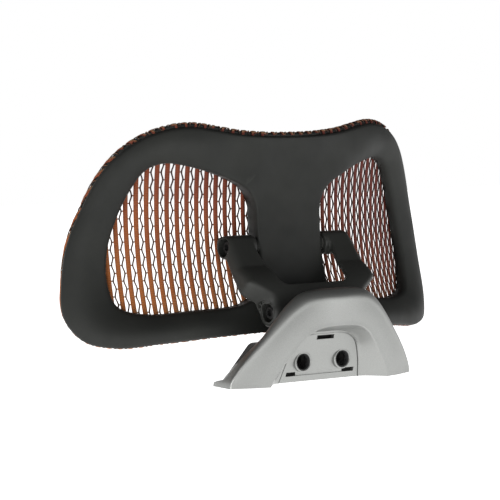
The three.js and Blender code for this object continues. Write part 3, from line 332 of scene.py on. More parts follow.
def mixed(mat, a, b, factor, blend="MIX"):
    """Mixes colour a with colour b by a factor: each is a socket or a plain value."""
    made = node(mat, "ShaderNodeMix")
    made.data_type = "RGBA"
    made.blend_type = blend
    for k, value in ((6, a), (7, b), (0, factor)):
        if isinstance(value, bpy.types.NodeSocket):
            link(mat, value, made.inputs[k])
        else:
            made.inputs[k].default_value = value
    return made.outputs[2]


def bump(mat, height, strength, distance):
    made = node(mat, "ShaderNodeBump", Strength=strength, Distance=distance)
    link(mat, height, made.inputs["Height"])
    link(mat, made.outputs["Normal"], mat.node_tree.nodes["Principled BSDF"].inputs["Normal"])


def moulded(name, dark, light, roughness, grain, specular=0.4):
    """Moulded plastic: a fine grain, slight unevenness, and a painted highlight that lightens the colour on
    convex edges.
    """
    mat = material(name, dark, roughness, Specular_IOR_Level=specular)
    shader = mat.node_tree.nodes["Principled BSDF"]
    uneven = noise(mat, 28, 4)
    # painted highlight: the colour is made lighter on convex edges, found by their pointiness
    edge_convexity = node(mat, "ShaderNodeNewGeometry").outputs["Pointiness"]
    edge = ramp(mat, edge_convexity, [(0.5, (0, 0, 0)), (0.62, (1, 1, 1))])
    base = ramp(mat, uneven, [(0.3, dark), (0.75, light)])
    painted_edge_highlight = (*[1.8 * c for c in light], 1)
    link(mat, mixed(mat, base, painted_edge_highlight, maths(mat, "MULTIPLY", edge, 0.35)), shader.inputs["Base Color"])
    rough = ramp(mat, noise(mat, 60, 2), [(0.2, (roughness - 0.06,) * 3), (0.8, (roughness + 0.08,) * 3)])
    link(mat, rough, shader.inputs["Roughness"])
    bump(mat, noise(mat, grain, 2), 0.18, 0.00015)
    return mat


def painted_silver():
    """Satin silver paint over a casting: fine metal flake and soft unevenness."""
    mat = material("silver_paint", (0.36, 0.365, 0.35), 0.36, 0.85, Coat_Weight=0.05, Coat_Roughness=0.35)
    shader = mat.node_tree.nodes["Principled BSDF"]
    flake = noise(mat, 2600, 2)
    base = ramp(mat, flake, [(0.25, (0.27, 0.275, 0.265)), (0.8, (0.36, 0.365, 0.355))])
    link(mat, base, shader.inputs["Base Color"])
    rough = ramp(mat, noise(mat, 45, 3), [(0.2, (0.34,) * 3), (0.8, (0.44,) * 3)])
    link(mat, rough, shader.inputs["Roughness"])
    bump(mat, noise(mat, 1400, 2), 0.06, 0.0001)
    return mat


def blackened_steel():
    """Dark steel with fine streaks along the turned parts."""
    mat = material("black_steel", (0.03, 0.03, 0.032), 0.45, 0.55)
    shader = mat.node_tree.nodes["Principled BSDF"]
    stretched = node(mat, "ShaderNodeMapping")
    stretched.inputs["Scale"].default_value = (4, 60, 60)
    link(mat, object_coordinates(mat), stretched.inputs["Vector"])
    streak = noise(mat, 30, 3, stretched.outputs["Vector"])
    link(mat, ramp(mat, streak, [(0.3, (0.02,) * 3), (0.7, (0.045,) * 3)]), shader.inputs["Base Color"])
    link(mat, ramp(mat, streak, [(0.3, (0.28,) * 3), (0.7, (0.45,) * 3)]), shader.inputs["Roughness"])
    bump(mat, streak, 0.1, 0.0001)
    return mat


STRIPE_PITCH, STRIPE_HALF_WIDTH = 8.3, 1.95
CELL_HEIGHT = 11.6  # of one swing of the dark thread between two stripes
THREAD_SWING, THREAD_HALF_WIDTH = 0.75, 0.62
HOLE_END, HOLE_TIP = 0.06, 0.025  # where a hole's sides end and its tip lies, as shares of a cell's height
STRIPE_LIFT, THREAD_LIFT, TIE_LIFT, HOLE_LIFT = 0.5, 0.42, 0.4, 0.3  # half the weave's thickness at each
CLOTH_SPARE = 18  # of weave beyond the pad's edge, from which the tail is cut
CELL_STEPS, YARNS_PER_CELL = 8, 9


def woven():
    """Mesh cloth: rust stripes between thin dark threads, with a painted light gradient that makes them paler
    orange low down on the left and darker to the top and right.
    """
    mat = material("rust_mesh", (0.3, 0.09, 0.04), 0.85, Sheen_Weight=0.05, Sheen_Roughness=0.5)
    shader = mat.node_tree.nodes["Principled BSDF"]
    shader.inputs["Sheen Tint"].default_value = (0.95, 0.75, 0.6, 1)
    uv = node(mat, "ShaderNodeUVMap")
    uv.uv_map = "cloth"
    split = node(mat, "ShaderNodeSeparateXYZ")
    link(mat, uv.outputs["UV"], split.inputs[0])
    across, along = split.outputs[0], split.outputs[1]

    phase = maths(mat, "FRACT", maths(mat, "ADD", across, 0.5))
    phase = maths(mat, "ABSOLUTE", maths(mat, "SUBTRACT", phase, 0.5))
    place = node(mat, "ShaderNodeSeparateXYZ")
    link(mat, object_coordinates(mat), place.inputs[0])
    # painted light and shade: a gradient over the pad, lighter low down on the left and darker to the top and
    # right, plus a random patchy tone
    sideways = maths(mat, "MULTIPLY", place.outputs[0], 2.6)
    upward = maths(mat, "MULTIPLY", place.outputs[2], 5.0)
    patchy = maths(mat, "MULTIPLY", noise(mat, 22, 2), 0.5)
    painted_light_and_tone = maths(mat, "ADD", maths(mat, "ADD", sideways, upward), patchy)
    oranges = [(0.2, (0.40, 0.125, 0.028)), (0.6, (0.21, 0.045, 0.014)), (1.0, (0.11, 0.016, 0.009))]
    browns = [(0.2, (0.10, 0.055, 0.03)), (0.6, (0.04, 0.016, 0.014)), (1.0, (0.02, 0.009, 0.01))]
    rust, thread = ramp(mat, painted_light_and_tone, oranges), ramp(mat, painted_light_and_tone, browns)
    shade = mixed(mat, rust, thread, ramp(mat, phase, [(0.25, (0, 0, 0)), (0.29, (1, 1, 1))]))
    # painted light: cloth that faces up, over the top of the pad, is turned a paler tan as if lit from above
    facing = node(mat, "ShaderNodeSeparateXYZ")
    link(mat, node(mat, "ShaderNodeTexCoord").outputs["Normal"], facing.inputs[0])
    painted_top_light = ramp(mat, facing.outputs[2], [(0.3, (0, 0, 0)), (0.5, (0.8,) * 3)])
    shade = mixed(mat, shade, (0.36, 0.2, 0.1, 1), painted_top_light)
    yarn = maths(mat, "SINE", maths(mat, "MULTIPLY", along, 2 * math.pi * YARNS_PER_CELL))
    ridges = maths(mat, "ADD", maths(mat, "MULTIPLY", yarn, 0.5), 0.5)
    # painted shade and highlight of the yarns: the colour is darker between them and lighter on their crests,
    # along the same ridges as the bump
    painted_yarn_shading = ramp(mat, ridges, [(0.1, (0.6,) * 3), (0.9, (1.25,) * 3)])
    link(mat, mixed(mat, shade, painted_yarn_shading, 0.55, "MULTIPLY"), shader.inputs["Base Color"])
    bump(mat, ridges, 0.5, 0.00025)
    return mat


SILVER = painted_silver()
BLACK = moulded("charcoal_plastic", (0.017, 0.018, 0.0165), (0.023, 0.024, 0.0215), 0.6, 1500, 0.25)
ARM_BLACK = moulded("arm_charcoal", (0.023, 0.024, 0.022), (0.031, 0.032, 0.029), 0.5, 1200, 0.32)
CORE_BLACK = moulded("core_plastic", (0.026, 0.026, 0.025), (0.036, 0.036, 0.034), 0.6, 1100, 0.3)
RUBBER = moulded("spline_rubber", (0.02, 0.02, 0.02), (0.03, 0.03, 0.03), 0.7, 1800, 0.25)
BUSHING = moulded("dark_acetal", (0.05, 0.05, 0.047), (0.065, 0.065, 0.06), 0.42, 1600, 0.5)
STEEL = blackened_steel()
CLOTH = woven()

# ------------------------------------------------------------ the pad's surface


def on_pad(u, z, depth):
    """A point on the pad from its place on the unrolled face and its depth in front of the rear."""
    angle = u / PAD_RADIUS
    radius = PAD_RADIUS - depth
    rise = z - PAD_PROFILE_APEX
    y = PAD_CENTRE_Y + PAD_RADIUS - radius * np.cos(angle) - rise * rise / (2 * PAD_PROFILE_RADIUS)
    return np.stack(np.broadcast_arrays(radius * np.sin(angle), y, PAD_CENTRE_Z + z), axis=-1)


def outline_loop(half_count):
    """The frame's outline on the unrolled face, from the bottom centre round by the right."""
    half = [(x * PAD_HALF_WIDTH, y * (PAD_RISE if y > 0 else PAD_DROP)) for x, y in OUTLINE]
    mirrored = [(-x, y) for x, y in reversed(half[1:-1])]
    right = spline(half + mirrored, 2 * half_count, True)[: half_count + 1]
    right[0, 0] = right[half_count, 0] = 0
    left = right[1:-1][::-1] * (-1, 1)
    return np.concatenate([right, left])


def outward(loop):
    """Unit normals of a loop, pointing out of it."""
    step = np.roll(loop, -1, axis=0) - np.roll(loop, 1, axis=0)
    step /= np.linalg.norm(step, axis=1)[:, None]
    return np.stack([step[:, 1], -step[:, 0]], axis=1)


HALF_STATIONS, EDGE_STEPS, FACE_STEPS, RIB_STEPS, WINDOW_STEPS = 110, 6, 12, 40, 900
outline = outline_loop(HALF_STATIONS)
normals = outward(outline)
overhang = FABRIC_SIDE_OVERHANG + FABRIC_TOP_OVERHANG * np.maximum(0, normals[:, 1])
cloth_edge = outline + normals * overhang[:, None]
spokes = sorted((math.atan2(z, u), math.hypot(u, z)) for u, z in cloth_edge)
spoke_angles = np.array([a for a, _ in spokes])
spoke_lengths = np.array([r for _, r in spokes])


def cloth_depth(u, z):
    reach = np.interp(np.arctan2(z, u), spoke_angles, spoke_lengths, period=2 * math.pi)
    share = np.minimum(1, np.hypot(u, z) / reach)
    return FABRIC_EDGE_DEPTH + FABRIC_BULGE * (1 - share * share)


def pad_ring(section):
    """A skin from a section of (inset, depth) swept round the cloth's edge."""
    rings = []
    for inset, depth in section:
        place = cloth_edge - normals * inset
        rings.append(on_pad(place[:, 0], place[:, 1], depth))
    return ring_skin(rings)


# ------------------------------------------------------------ rear frame


def window_loop():
    width = PAD_HALF_WIDTH - SIDE_BORDER - RIB_HALF_WIDTH
    bottom = BOTTOM_BORDER - PAD_DROP
    height = PAD_RISE - TOP_BORDER - bottom
    return spline([(RIB_HALF_WIDTH + x * width, bottom + y * height) for x, y in WINDOW], WINDOW_STEPS, True)


def frame_section(edge, end, drop):
    """One cross-section: rear face from the window's edge to the outline, then the stepped front."""
    length = math.hypot(*(end - edge))
    crowned = smoothstep(abs(end[0]), CROWN_FROM, CROWN_FULL)
    quarter = [(1 - math.cos(t), 1 - math.sin(t)) for t in np.linspace(0, math.pi / 2, EDGE_STEPS)]
    r = FRAME_EDGE_ROUND
    distances = [(r * a, r * b) for a, b in quarter]
    distances += [(lerp(r, length - r, t), 0) for t in np.linspace(0, 1, FACE_STEPS + 2)[1:-1]]
    distances += [(length - r * a, drop * b) for a, b in reversed(quarter)]
    points = []
    for distance, lowered in distances:
        share = distance / length
        u, z = edge + (end - edge) * share
        slope = lerp(FRAME_INNER_DEPTH, FRAME_OUTER_DEPTH, share)
        border = slope - FRAME_CROWN * math.sin(math.pi * share)
        rib = -min(u, RIB_HALF_WIDTH) ** 2 / (2 * PAD_RADIUS)
        points.append(on_pad(u, z, lerp(rib, border, crowned) + lowered))
    ledge = FABRIC_EDGE_DEPTH - 2 * BEAD_INSET - GAP
    step = min(CARRIER_WIDTH + GAP - LEDGE_OVERLAP, LEDGE_LIMIT * length)
    reaches_outline = drop > 0
    for distance in (length, length - step):
        u, z = edge + (end - edge) * (distance / length)
        front = float(cloth_depth(u, z)) - FRAME_FRONT_GAP
        points.append(on_pad(u, z, ledge if reaches_outline else front))
    for share in (1 - step / length, 0.4, 0.0):
        u, z = edge + (end - edge) * share
        points.append(on_pad(u, z, float(cloth_depth(u, z)) - FRAME_FRONT_GAP))
    return points


def make_frame():
    loop = window_loop()
    middle = loop.mean(axis=0)
    order = np.arctan2(loop[:, 1] - middle[1], loop[:, 0] - middle[0])

    def edge_towards(point):
        target = math.atan2(point[1] - middle[1], point[0] - middle[0])
        rank = np.argsort(order)
        return np.array([np.interp(target, order[rank], loop[rank, k], period=2 * math.pi) for k in (0, 1)])

    bottom, top = outline[0, 1], outline[HALF_STATIONS, 1]
    r = FRAME_EDGE_ROUND
    turns = np.linspace(0, math.pi / 2, EDGE_STEPS)[1:]
    centre = [(top - r * (1 - math.cos(t)), r * (1 - math.sin(t))) for t in turns]
    centre += [(z, 0) for z in np.linspace(top - r, bottom + r, RIB_STEPS)[1:-1]]
    centre += [(bottom + r * (1 - math.cos(t)), r * (1 - math.sin(t))) for t in turns[::-1]]
    ends = [(outline[i], r) for i in range(HALF_STATIONS + 1)]
    ends += [(np.array([0.0, z]), drop) for z, drop in centre]
    sections = [frame_section(edge_towards(end), end, drop) for end, drop in ends]
    count = len(sections[0])
    wall = 2 * EDGE_STEPS + FACE_STEPS - 1  # the step from the rear face to the front one
    points, faces = [p for s in sections for p in s], []
    for s in range(len(sections)):
        following = (s + 1) % len(sections)
        for i in range(count):
            if i == wall and s >= HALF_STATIONS:
                continue
            j = (i + 1) % count
            faces.append((s * count + i, s * count + j, following * count + j, following * count + i))
    mirrored = [p * (-1, 1, 1) for p in points]
    flipped = [tuple(len(points) + k for k in reversed(f)) for f in faces]
    return piece("rear_frame_shell", points + mirrored, faces + flipped, "pad", "black", BLACK)


rear_frame = make_frame()
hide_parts("rear_frame")
piece("rib_knuckle", *turned([
    (-KNUCKLE_END, BUSH_SEAT), (-KNUCKLE_END, UPPER_KNUCKLE_RADIUS - KNUCKLE_CHAMFER),
    (-KNUCKLE_END + KNUCKLE_CHAMFER, UPPER_KNUCKLE_RADIUS),
    (KNUCKLE_END - KNUCKLE_CHAMFER, UPPER_KNUCKLE_RADIUS),
    (KNUCKLE_END, UPPER_KNUCKLE_RADIUS - KNUCKLE_CHAMFER), (KNUCKLE_END, BUSH_SEAT),
    (KNUCKLE_END - BUSH_LENGTH, BUSH_SEAT), (KNUCKLE_END - BUSH_LENGTH, SCREW_BORE),
    (BUSH_LENGTH - KNUCKLE_END, SCREW_BORE), (BUSH_LENGTH - KNUCKLE_END, BUSH_SEAT),
], (0, *UPPER)), "pad", "black", BLACK)

# ------------------------------------------------------------ ring, spline and mesh cloth

flange = CARRIER_THICKNESS / 2
reach_in = BEAD_INSET + math.sqrt(BEAD_RADIUS**2 - flange**2)
front_depth, rear_depth = BEAD_DEPTH + flange, BEAD_DEPTH - flange
carrier = piece("mesh_ring", *pad_ring([
    (reach_in, front_depth), *arc(BEAD_INSET, BEAD_DEPTH, BEAD_RADIUS, 40, 320, 16),
    (reach_in, rear_depth), (CARRIER_WIDTH, rear_depth), (CARRIER_WIDTH, front_depth),
]), "pad", "black", BLACK)
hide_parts("mesh_carrier")


def cloth_place(u, z):
    """Where a point of the flat cloth lies: on the face, round the bead, or on the tail behind it."""
    flat = np.stack([u, z], axis=1)
    nearest = np.argmin(((flat[:, None, :] - cloth_edge[None, :, :]) ** 2).sum(axis=2), axis=1)
    best, foot, normal = np.full(len(flat), np.inf), np.zeros_like(flat), np.zeros_like(flat)
    for shift in (-1, 0):
        here, following = (nearest + shift) % len(cloth_edge), (nearest + shift + 1) % len(cloth_edge)
        a, b, na, nb = cloth_edge[here], cloth_edge[following], normals[here], normals[following]
        t = np.clip(((flat - a) * (b - a)).sum(axis=1) / ((b - a) ** 2).sum(axis=1), 0, 1)[:, None]
        at = a + (b - a) * t
        gap = np.linalg.norm(flat - at, axis=1)
        closer = gap < best
        best = np.where(closer, gap, best)
        foot[closer] = at[closer]
        normal[closer] = (na + (nb - na) * t)[closer]
    inside = best * np.where(((foot - flat) * normal).sum(axis=1) >= 0, 1, -1)
    beyond = BEAD_INSET - inside
    return foot, normal, beyond


def wrapped(u, z, lift):
    """The 3-D place of flat cloth points, lifted along the cloth's front by lift."""
    foot, normal, beyond = cloth_place(u, z)
    radius = BEAD_INSET - FABRIC_THICKNESS / 2
    turn = np.clip(beyond / radius, 0, math.pi)
    tail = np.maximum(0, beyond - math.pi * radius)
    out = radius + lift
    inset = BEAD_INSET - out * np.sin(turn) + tail
    depth = BEAD_DEPTH + out * np.cos(turn)
    edge = foot - normal * inset[:, None]
    on_edge = on_pad(edge[:, 0], edge[:, 1], depth)
    on_face = on_pad(u, z, cloth_depth(u, z) - FABRIC_THICKNESS / 2 + lift)
    return np.where((beyond > 0)[:, None], on_edge, on_face)


def cloth_lattice():
    """The flat cloth: stripes, and between them pairs of staggered lens-shaped holes round a wavy thread."""
    half = STRIPE_PITCH / 2
    columns = 2 * int((cloth_edge[:, 0].max() + CLOTH_SPARE) / STRIPE_PITCH)
    rows = int((CLOTH_SPARE - cloth_edge[:, 1].min()) / CELL_HEIGHT) + 1
    flat, thickness, cells, index = [], [], [], {}

    def swing(share):
        return THREAD_SWING * math.cos(2 * math.pi * share)

    def shared(column, step, lift):
        """A point on a stripe's or thread's middle line, or half way between them, made once."""
        key = (column, step)
        if key not in index:
            share = step / CELL_STEPS
            index[key] = len(flat)
            sideways = -swing(share) if column % 2 == 1 else 0.0
            flat.append((column * half + sideways, share * CELL_HEIGHT))
            thickness.append(lift)
        return index[key]

    def line(k, step):
        return shared(k, step, STRIPE_LIFT if k % 2 == 0 else THREAD_LIFT)

    middle = 0.5 * (STRIPE_HALF_WIDTH + half - THREAD_SWING - THREAD_HALF_WIDTH)
    shares = np.linspace(HOLE_END, 1 - HOLE_END, CELL_STEPS + 1)
    stripe_side = [(s, STRIPE_HALF_WIDTH) for s in shares]
    thread_side = [(s, half - swing(s) - THREAD_HALF_WIDTH) for s in shares]
    for k in range(-columns, columns):
        stripe_left = k % 2 == 0
        start = 0 if stripe_left else CELL_STEPS // 2
        left, right = (stripe_side, thread_side) if stripe_left else (thread_side, stripe_side)
        hole = [*left, (1 - HOLE_TIP, middle), *reversed(right), (HOLE_TIP, middle)]
        for j in range(-rows, rows + 1):
            q = CELL_STEPS * j + start
            ring = [line(k, q + i) for i in range(CELL_STEPS + 1)]
            ring.append(shared(k + 0.5, q + CELL_STEPS, TIE_LIFT))
            ring += [line(k + 1, q + CELL_STEPS - i) for i in range(CELL_STEPS + 1)]
            ring.append(shared(k + 0.5, q, TIE_LIFT))
            base = len(flat)
            for share, across in hole:
                across = across if stripe_left else half - across
                flat.append((k * half + across, (q / CELL_STEPS + share) * CELL_HEIGHT))
                thickness.append(HOLE_LIFT)
            turn = [(i, (i + 1) % len(ring)) for i in range(len(ring))]
            cells.append([(ring[i], ring[m], base + m, base + i) for i, m in turn])
    return np.array(flat), np.array(thickness), cells


def make_cloth():
    """The cloth's skin, front and back, and the flat place of each of its points."""
    flat, thickness, cells = cloth_lattice()
    u, z = flat[:, 0], flat[:, 1]
    _, _, beyond = cloth_place(u, z)
    longest = math.pi * (BEAD_INSET - FABRIC_THICKNESS / 2) + FABRIC_TAIL - BEAD_INSET
    tail_from = math.pi * BEAD_INSET / 2
    front = wrapped(u, z, thickness)
    back = wrapped(u, z, -thickness)
    count = len(flat)
    faces, sides = [], {}
    for cell in cells:
        reach = [beyond[k] for quad in cell for k in quad]
        if max(reach) >= longest:
            continue
        hole_filled = min(reach) > tail_from
        if hole_filled:
            hole = [quad[3] for quad in cell]
            faces += [tuple(hole), tuple(k + count for k in reversed(hole))]
        for a, b, c, d in cell:
            faces += [(a, b, c, d), (d + count, c + count, b + count, a + count)]
            sides[a, b] = True
        if not hole_filled:
            faces += [(d, c, c + count, d + count) for _, _, c, d in cell]
    outer = [(a, b) for a, b in sides if (b, a) not in sides]
    faces += [(b, a, a + count, b + count) for a, b in outer]
    used = sorted({k for f in faces for k in f})
    remap = {k: i for i, k in enumerate(used)}
    points = np.concatenate([front, back])[used]
    obj = piece("mesh_cloth", points, [tuple(remap[k] for k in f) for f in faces], "pad", "fabric", CLOTH)
    return obj, np.concatenate([flat, flat])[used]


cloth, cloth_flat = make_cloth()
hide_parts("mesh_fabric")
layer = cloth.data.uv_layers.new(name="cloth")
corner = np.empty(len(cloth.data.loops), dtype=int)
cloth.data.loops.foreach_get("vertex_index", corner)
spread = cloth_flat / (STRIPE_PITCH, CELL_HEIGHT)
layer.data.foreach_set("uv", spread[corner].ravel())

# ------------------------------------------------------------ arm

ARM_LENGTH = math.hypot(UPPER[0] - LOWER[0], UPPER[1] - LOWER[1])
ARM_UP = ((UPPER[0] - LOWER[0]) / ARM_LENGTH, (UPPER[1] - LOWER[1]) / ARM_LENGTH)


def on_arm(x, s, n):
    return (x, LOWER[0] + ARM_UP[0] * s - ARM_UP[1] * n, LOWER[1] + ARM_UP[1] * s + ARM_UP[0] * n)


def arm_half_width(s):
    full = lerp(ARM_HALF_WIDTH, HEAD_OUTER_X, smoothstep(s, ARM_SHOULDER, ARM_LENGTH))
    return lerp(BARREL_OUTER_X, full, smoothstep(s, BARREL_RADIUS / 3, ARM_SHOULDER))


def arm_faces(s):
    def half(radius, distance):
        return math.sqrt(max(0.0, radius * radius - distance * distance))

    low, high = half(BARREL_RADIUS, s), half(HEAD_RADIUS, s - ARM_LENGTH)
    if s < 0:
        return low, -low, -low
    if s > ARM_LENGTH:
        return high, -high, -high
    elbow = ARM_ELBOW * math.sin(math.pi * s / ARM_ELBOW_LENGTH) if s < ARM_ELBOW_LENGTH else 0
    rear = lerp(BARREL_RADIUS, HEAD_RADIUS, s / ARM_LENGTH) + elbow
    front = -max(low, high, ARM_WAIST)
    below = smoothstep(s, BARREL_RADIUS, ARM_SHOULDER)
    above = smoothstep(ARM_LENGTH - s, HEAD_RADIUS, HEAD_RADIUS + ARM_WEB_FADE)
    return rear, front, lerp(front, rear - ARM_WEB, below * above)


def arm_ring(s):
    rear, front, web = arm_faces(s)
    width, thick = arm_half_width(s), rear - front
    back = min(ARM_EDGE_ROUND, ARM_EDGE_SHARE * thick)
    fore = min(ARM_FRONT_ROUND, ARM_FRONT_SHARE * thick)
    inner = width - ARM_FLANGE
    section = [
        *arc(width - back, rear - back, back, 0, 90, 8), *arc(back - width, rear - back, back, 90, 180, 8),
        *arc(fore - width, front + fore, fore, 180, 270, 4),
        (-inner, front), (ARM_FLANGE_SLOPE - inner, web), (inner - ARM_FLANGE_SLOPE, web), (inner, front),
        *arc(width - fore, front + fore, fore, 270, 360, 4),
    ]
    return [on_arm(x, s, n) for x, n in section]


ARM_STATIONS = 56


def make_arm():
    shares = (0.1, 0.25, 0.4, 0.55, 0.7, 0.85, 0.95, 0.99)
    low = [-BARREL_RADIUS * math.sqrt(1 - t * t) for t in shares]
    high = [ARM_LENGTH + HEAD_RADIUS * math.sqrt(1 - t * t) for t in reversed(shares)]
    stations = low + list(np.linspace(0, ARM_LENGTH, ARM_STATIONS)) + high
    caps = [on_arm(0, -BARREL_RADIUS, 0), on_arm(0, ARM_LENGTH + HEAD_RADIUS, 0)]
    arm = piece("arm_casting", *ring_skin([arm_ring(s) for s in stations], caps), "arm", "black", ARM_BLACK)
    foot, corner_radius = ARM_GAP_FOOT_HALF_WIDTH, ARM_GAP_CORNER
    right = arc(foot - corner_radius, ARM_GAP_FLOOR + corner_radius, corner_radius, 270, 360, 10)
    right += [(ARM_GAP_HALF_WIDTH, s) for s in (ARM_LENGTH - HEAD_RADIUS, ARM_LENGTH + 3 * HEAD_RADIUS)]
    loop = right + [(-x, s) for x, s in reversed(right)]
    depths = (-3 * BARREL_RADIUS, 3 * BARREL_RADIUS)
    gap = ring_skin([[on_arm(x, s, n) for x, s in loop] for n in depths],
                    [on_arm(0, ARM_LENGTH - HEAD_RADIUS, n) for n in depths])
    boolean(arm, cutter(gap))
    slot_half = LOWER_KNUCKLE_HALF_WIDTH + FRICTION_THICKNESS + 2 * GAP
    slot_radius = BARREL_RADIUS + BARREL_SLOT_CLEARANCE
    boolean(arm, cutter(rod(-slot_half, slot_half, slot_radius, (0, *LOWER), segments=96)))
    boss_inner = KNUCKLE_END + FRICTION_THICKNESS + 2 * GAP
    for side in (-1, 1):
        boss_end = side * (HEAD_OUTER_X - ARM_EDGE_ROUND)
        boolean(arm, cutter(rod(side * boss_inner, boss_end, HEAD_RADIUS, (0, *UPPER), segments=96)), "UNION")
        for centre, outer_x, recess in ((UPPER, HEAD_OUTER_X, UPPER_RECESS_DEPTH),
                                        (LOWER, BARREL_OUTER_X, LOWER_RECESS_DEPTH)):
            start, floor_x, end = side * BORE_CUT_START, side * (outer_x - recess), side * BORE_CUT_END
            stepped = [(start, 1e-3), (start, SCREW_BORE), (floor_x, SCREW_BORE),
                       (floor_x, SCREW_RECESS_RADIUS), (end, SCREW_RECESS_RADIUS), (end, 1e-3)]
            boolean(arm, cutter(turned(stepped, (0, *centre), segments=72)))
        inner = SCREW_RECESS_RADIUS + GROOVE_WIDTH
        start, end = side * (BARREL_OUTER_X - GROOVE_DEPTH), side * BORE_CUT_END
        groove = [(start, inner), (start, inner + GROOVE_WIDTH), (end, inner + GROOVE_WIDTH), (end, inner)]
        boolean(arm, cutter(turned(groove, (0, *LOWER))))
    softened(arm, 0.6, 5)
    return arm


arm = make_arm()
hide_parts("arm")

# ------------------------------------------------------------ bracket hood


def hood_rear(x):
    return HOOD_REAR_Y + HOOD_REAR_RADIUS - math.sqrt(HOOD_REAR_RADIUS**2 - x * x)


def plate_y(height):
    return PLATE_Y - PLATE_LEAN * height


def arch_stations(arch, half_width, height, count):
    right = [(x * half_width, h * height) for x, h in arch]
    return spline(right + [(-x, h) for x, h in reversed(right[:-1])], count, False)


MITRE_LIMIT = 0.55


def offset_path(path, distance):
    """A path moved sideways, with its corners kept as mitres down to a limit."""
    sides = []
    for (r0, y0), (r1, y1) in zip(path, path[1:]):
        length = math.hypot(r1 - r0, y1 - y0)
        sides.append((-(y1 - y0) / length, (r1 - r0) / length))
    moved = []
    for i, (r, y) in enumerate(path):
        a, b = sides[max(0, i - 1)], sides[min(i, len(sides) - 1)]
        mitre = max(MITRE_LIMIT, 1 + a[0] * b[0] + a[1] * b[1])
        moved.append((r + distance * (a[0] + b[0]) / mitre, y + distance * (a[1] + b[1]) / mitre))
    return moved


def resampled(path, count):
    pts = np.array(path)
    run = np.concatenate([[0], np.cumsum(np.linalg.norm(np.diff(pts, axis=0), axis=1))])
    at = np.linspace(0, run[-1], count)
    return [(float(np.interp(t, run, pts[:, 0])), float(np.interp(t, run, pts[:, 1]))) for t in at]


ARCH_STATIONS, SCOOP_STEPS, BROW_STEPS = 160, 14, 12


def hood_sections():
    """For each station: its direction, the outer skin's fine path and the inner skin's path."""
    outer = arch_stations(HOOD_ARCH, HOOD_HALF_WIDTH, HOOD_HEIGHT, ARCH_STATIONS)
    rim = arch_stations(SCOOP_ARCH, SCOOP_HALF_WIDTH, SCOOP_HEIGHT, ARCH_STATIONS)
    plate = arch_stations(PLATE_ARCH, PLATE_HALF_WIDTH, PLATE_HEIGHT, ARCH_STATIONS)
    sections = []
    for (x, h), (rim_x, rim_h), (plate_x, plate_h) in zip(outer, rim, plate):
        length = math.hypot(x, h)
        direction = (x / length, h / length)
        rise = h / HOOD_HEIGHT
        radius = lerp(HOOD_FOOT_ROUND, HOOD_CREST_ROUND, rise * rise)
        side = HOOD_SIDE_DEPTH * max(0.0, 1 - h / HOOD_SIDE_HEIGHT)
        tab = smoothstep(-h, -HOOD_TAB_FADE * HOOD_TAB_HEIGHT, -HOOD_TAB_HEIGHT)
        depth = lerp(HOOD_CREST_DEPTH + radius + side, HOOD_TAB_DEPTH, tab)
        rear = hood_rear(x)
        rim_reach, plate_reach = math.hypot(rim_x, rim_h), math.hypot(plate_x, plate_h)
        sink = SCOOP_RIM_SINK * (1 - rim_h / SCOOP_HEIGHT)
        plate_edge, rim_edge = plate_y(plate_h), hood_rear(rim_x) + sink
        face_middle = 0.5 * (rim_reach + length - radius)
        coarse = [
            (0.5 * plate_reach, plate_y(0.5 * plate_h)), (plate_reach, plate_edge),
            (lerp(plate_reach, rim_reach, 0.6), lerp(plate_edge, rim_edge, 0.45)), (rim_reach, rim_edge),
            (face_middle, hood_rear(direction[0] * face_middle) + sink / 2),
            *arc(length - radius, rear + radius, radius, 270, 360, 6), (length, rear + depth),
        ]
        fine = [(0.5 * plate_reach, plate_y(0.5 * plate_h))]
        for share in (0.75, 0.9, 1):
            fine.append((share * plate_reach - CREASE_MARGIN, plate_y(share * plate_h)))
        fine += [(plate_reach + out, plate_edge + ahead) for out, ahead in CREASE]
        for t in np.linspace(0, 1, SCOOP_STEPS)[2:]:
            fine.append((lerp(plate_reach, rim_reach, t), lerp(plate_edge, rim_edge, t**SCOOP_BOW)))
        fine[-1:] = [(rim_reach + out, rim_edge + ahead) for out, ahead in RIM_EDGE]
        for t in np.linspace(0, 1, BROW_STEPS)[1:-1]:
            reach = lerp(rim_reach, length - radius, t)
            face = hood_rear(direction[0] * reach) + sink * (1 - t)
            fine.append((reach, lerp(face, rear, t**FACE_BOW)))
        fine += arc(length - radius, rear + radius, radius, 270, 360, 10)
        fine += [(length, lerp(rear + radius, rear + depth, t)) for t in (0.3, 0.65, 0.93)]
        fine.append((length - 0.4, rear + depth))
        sections.append((direction, fine, resampled(offset_path(coarse, HOOD_WALL), len(fine))))
    return sections


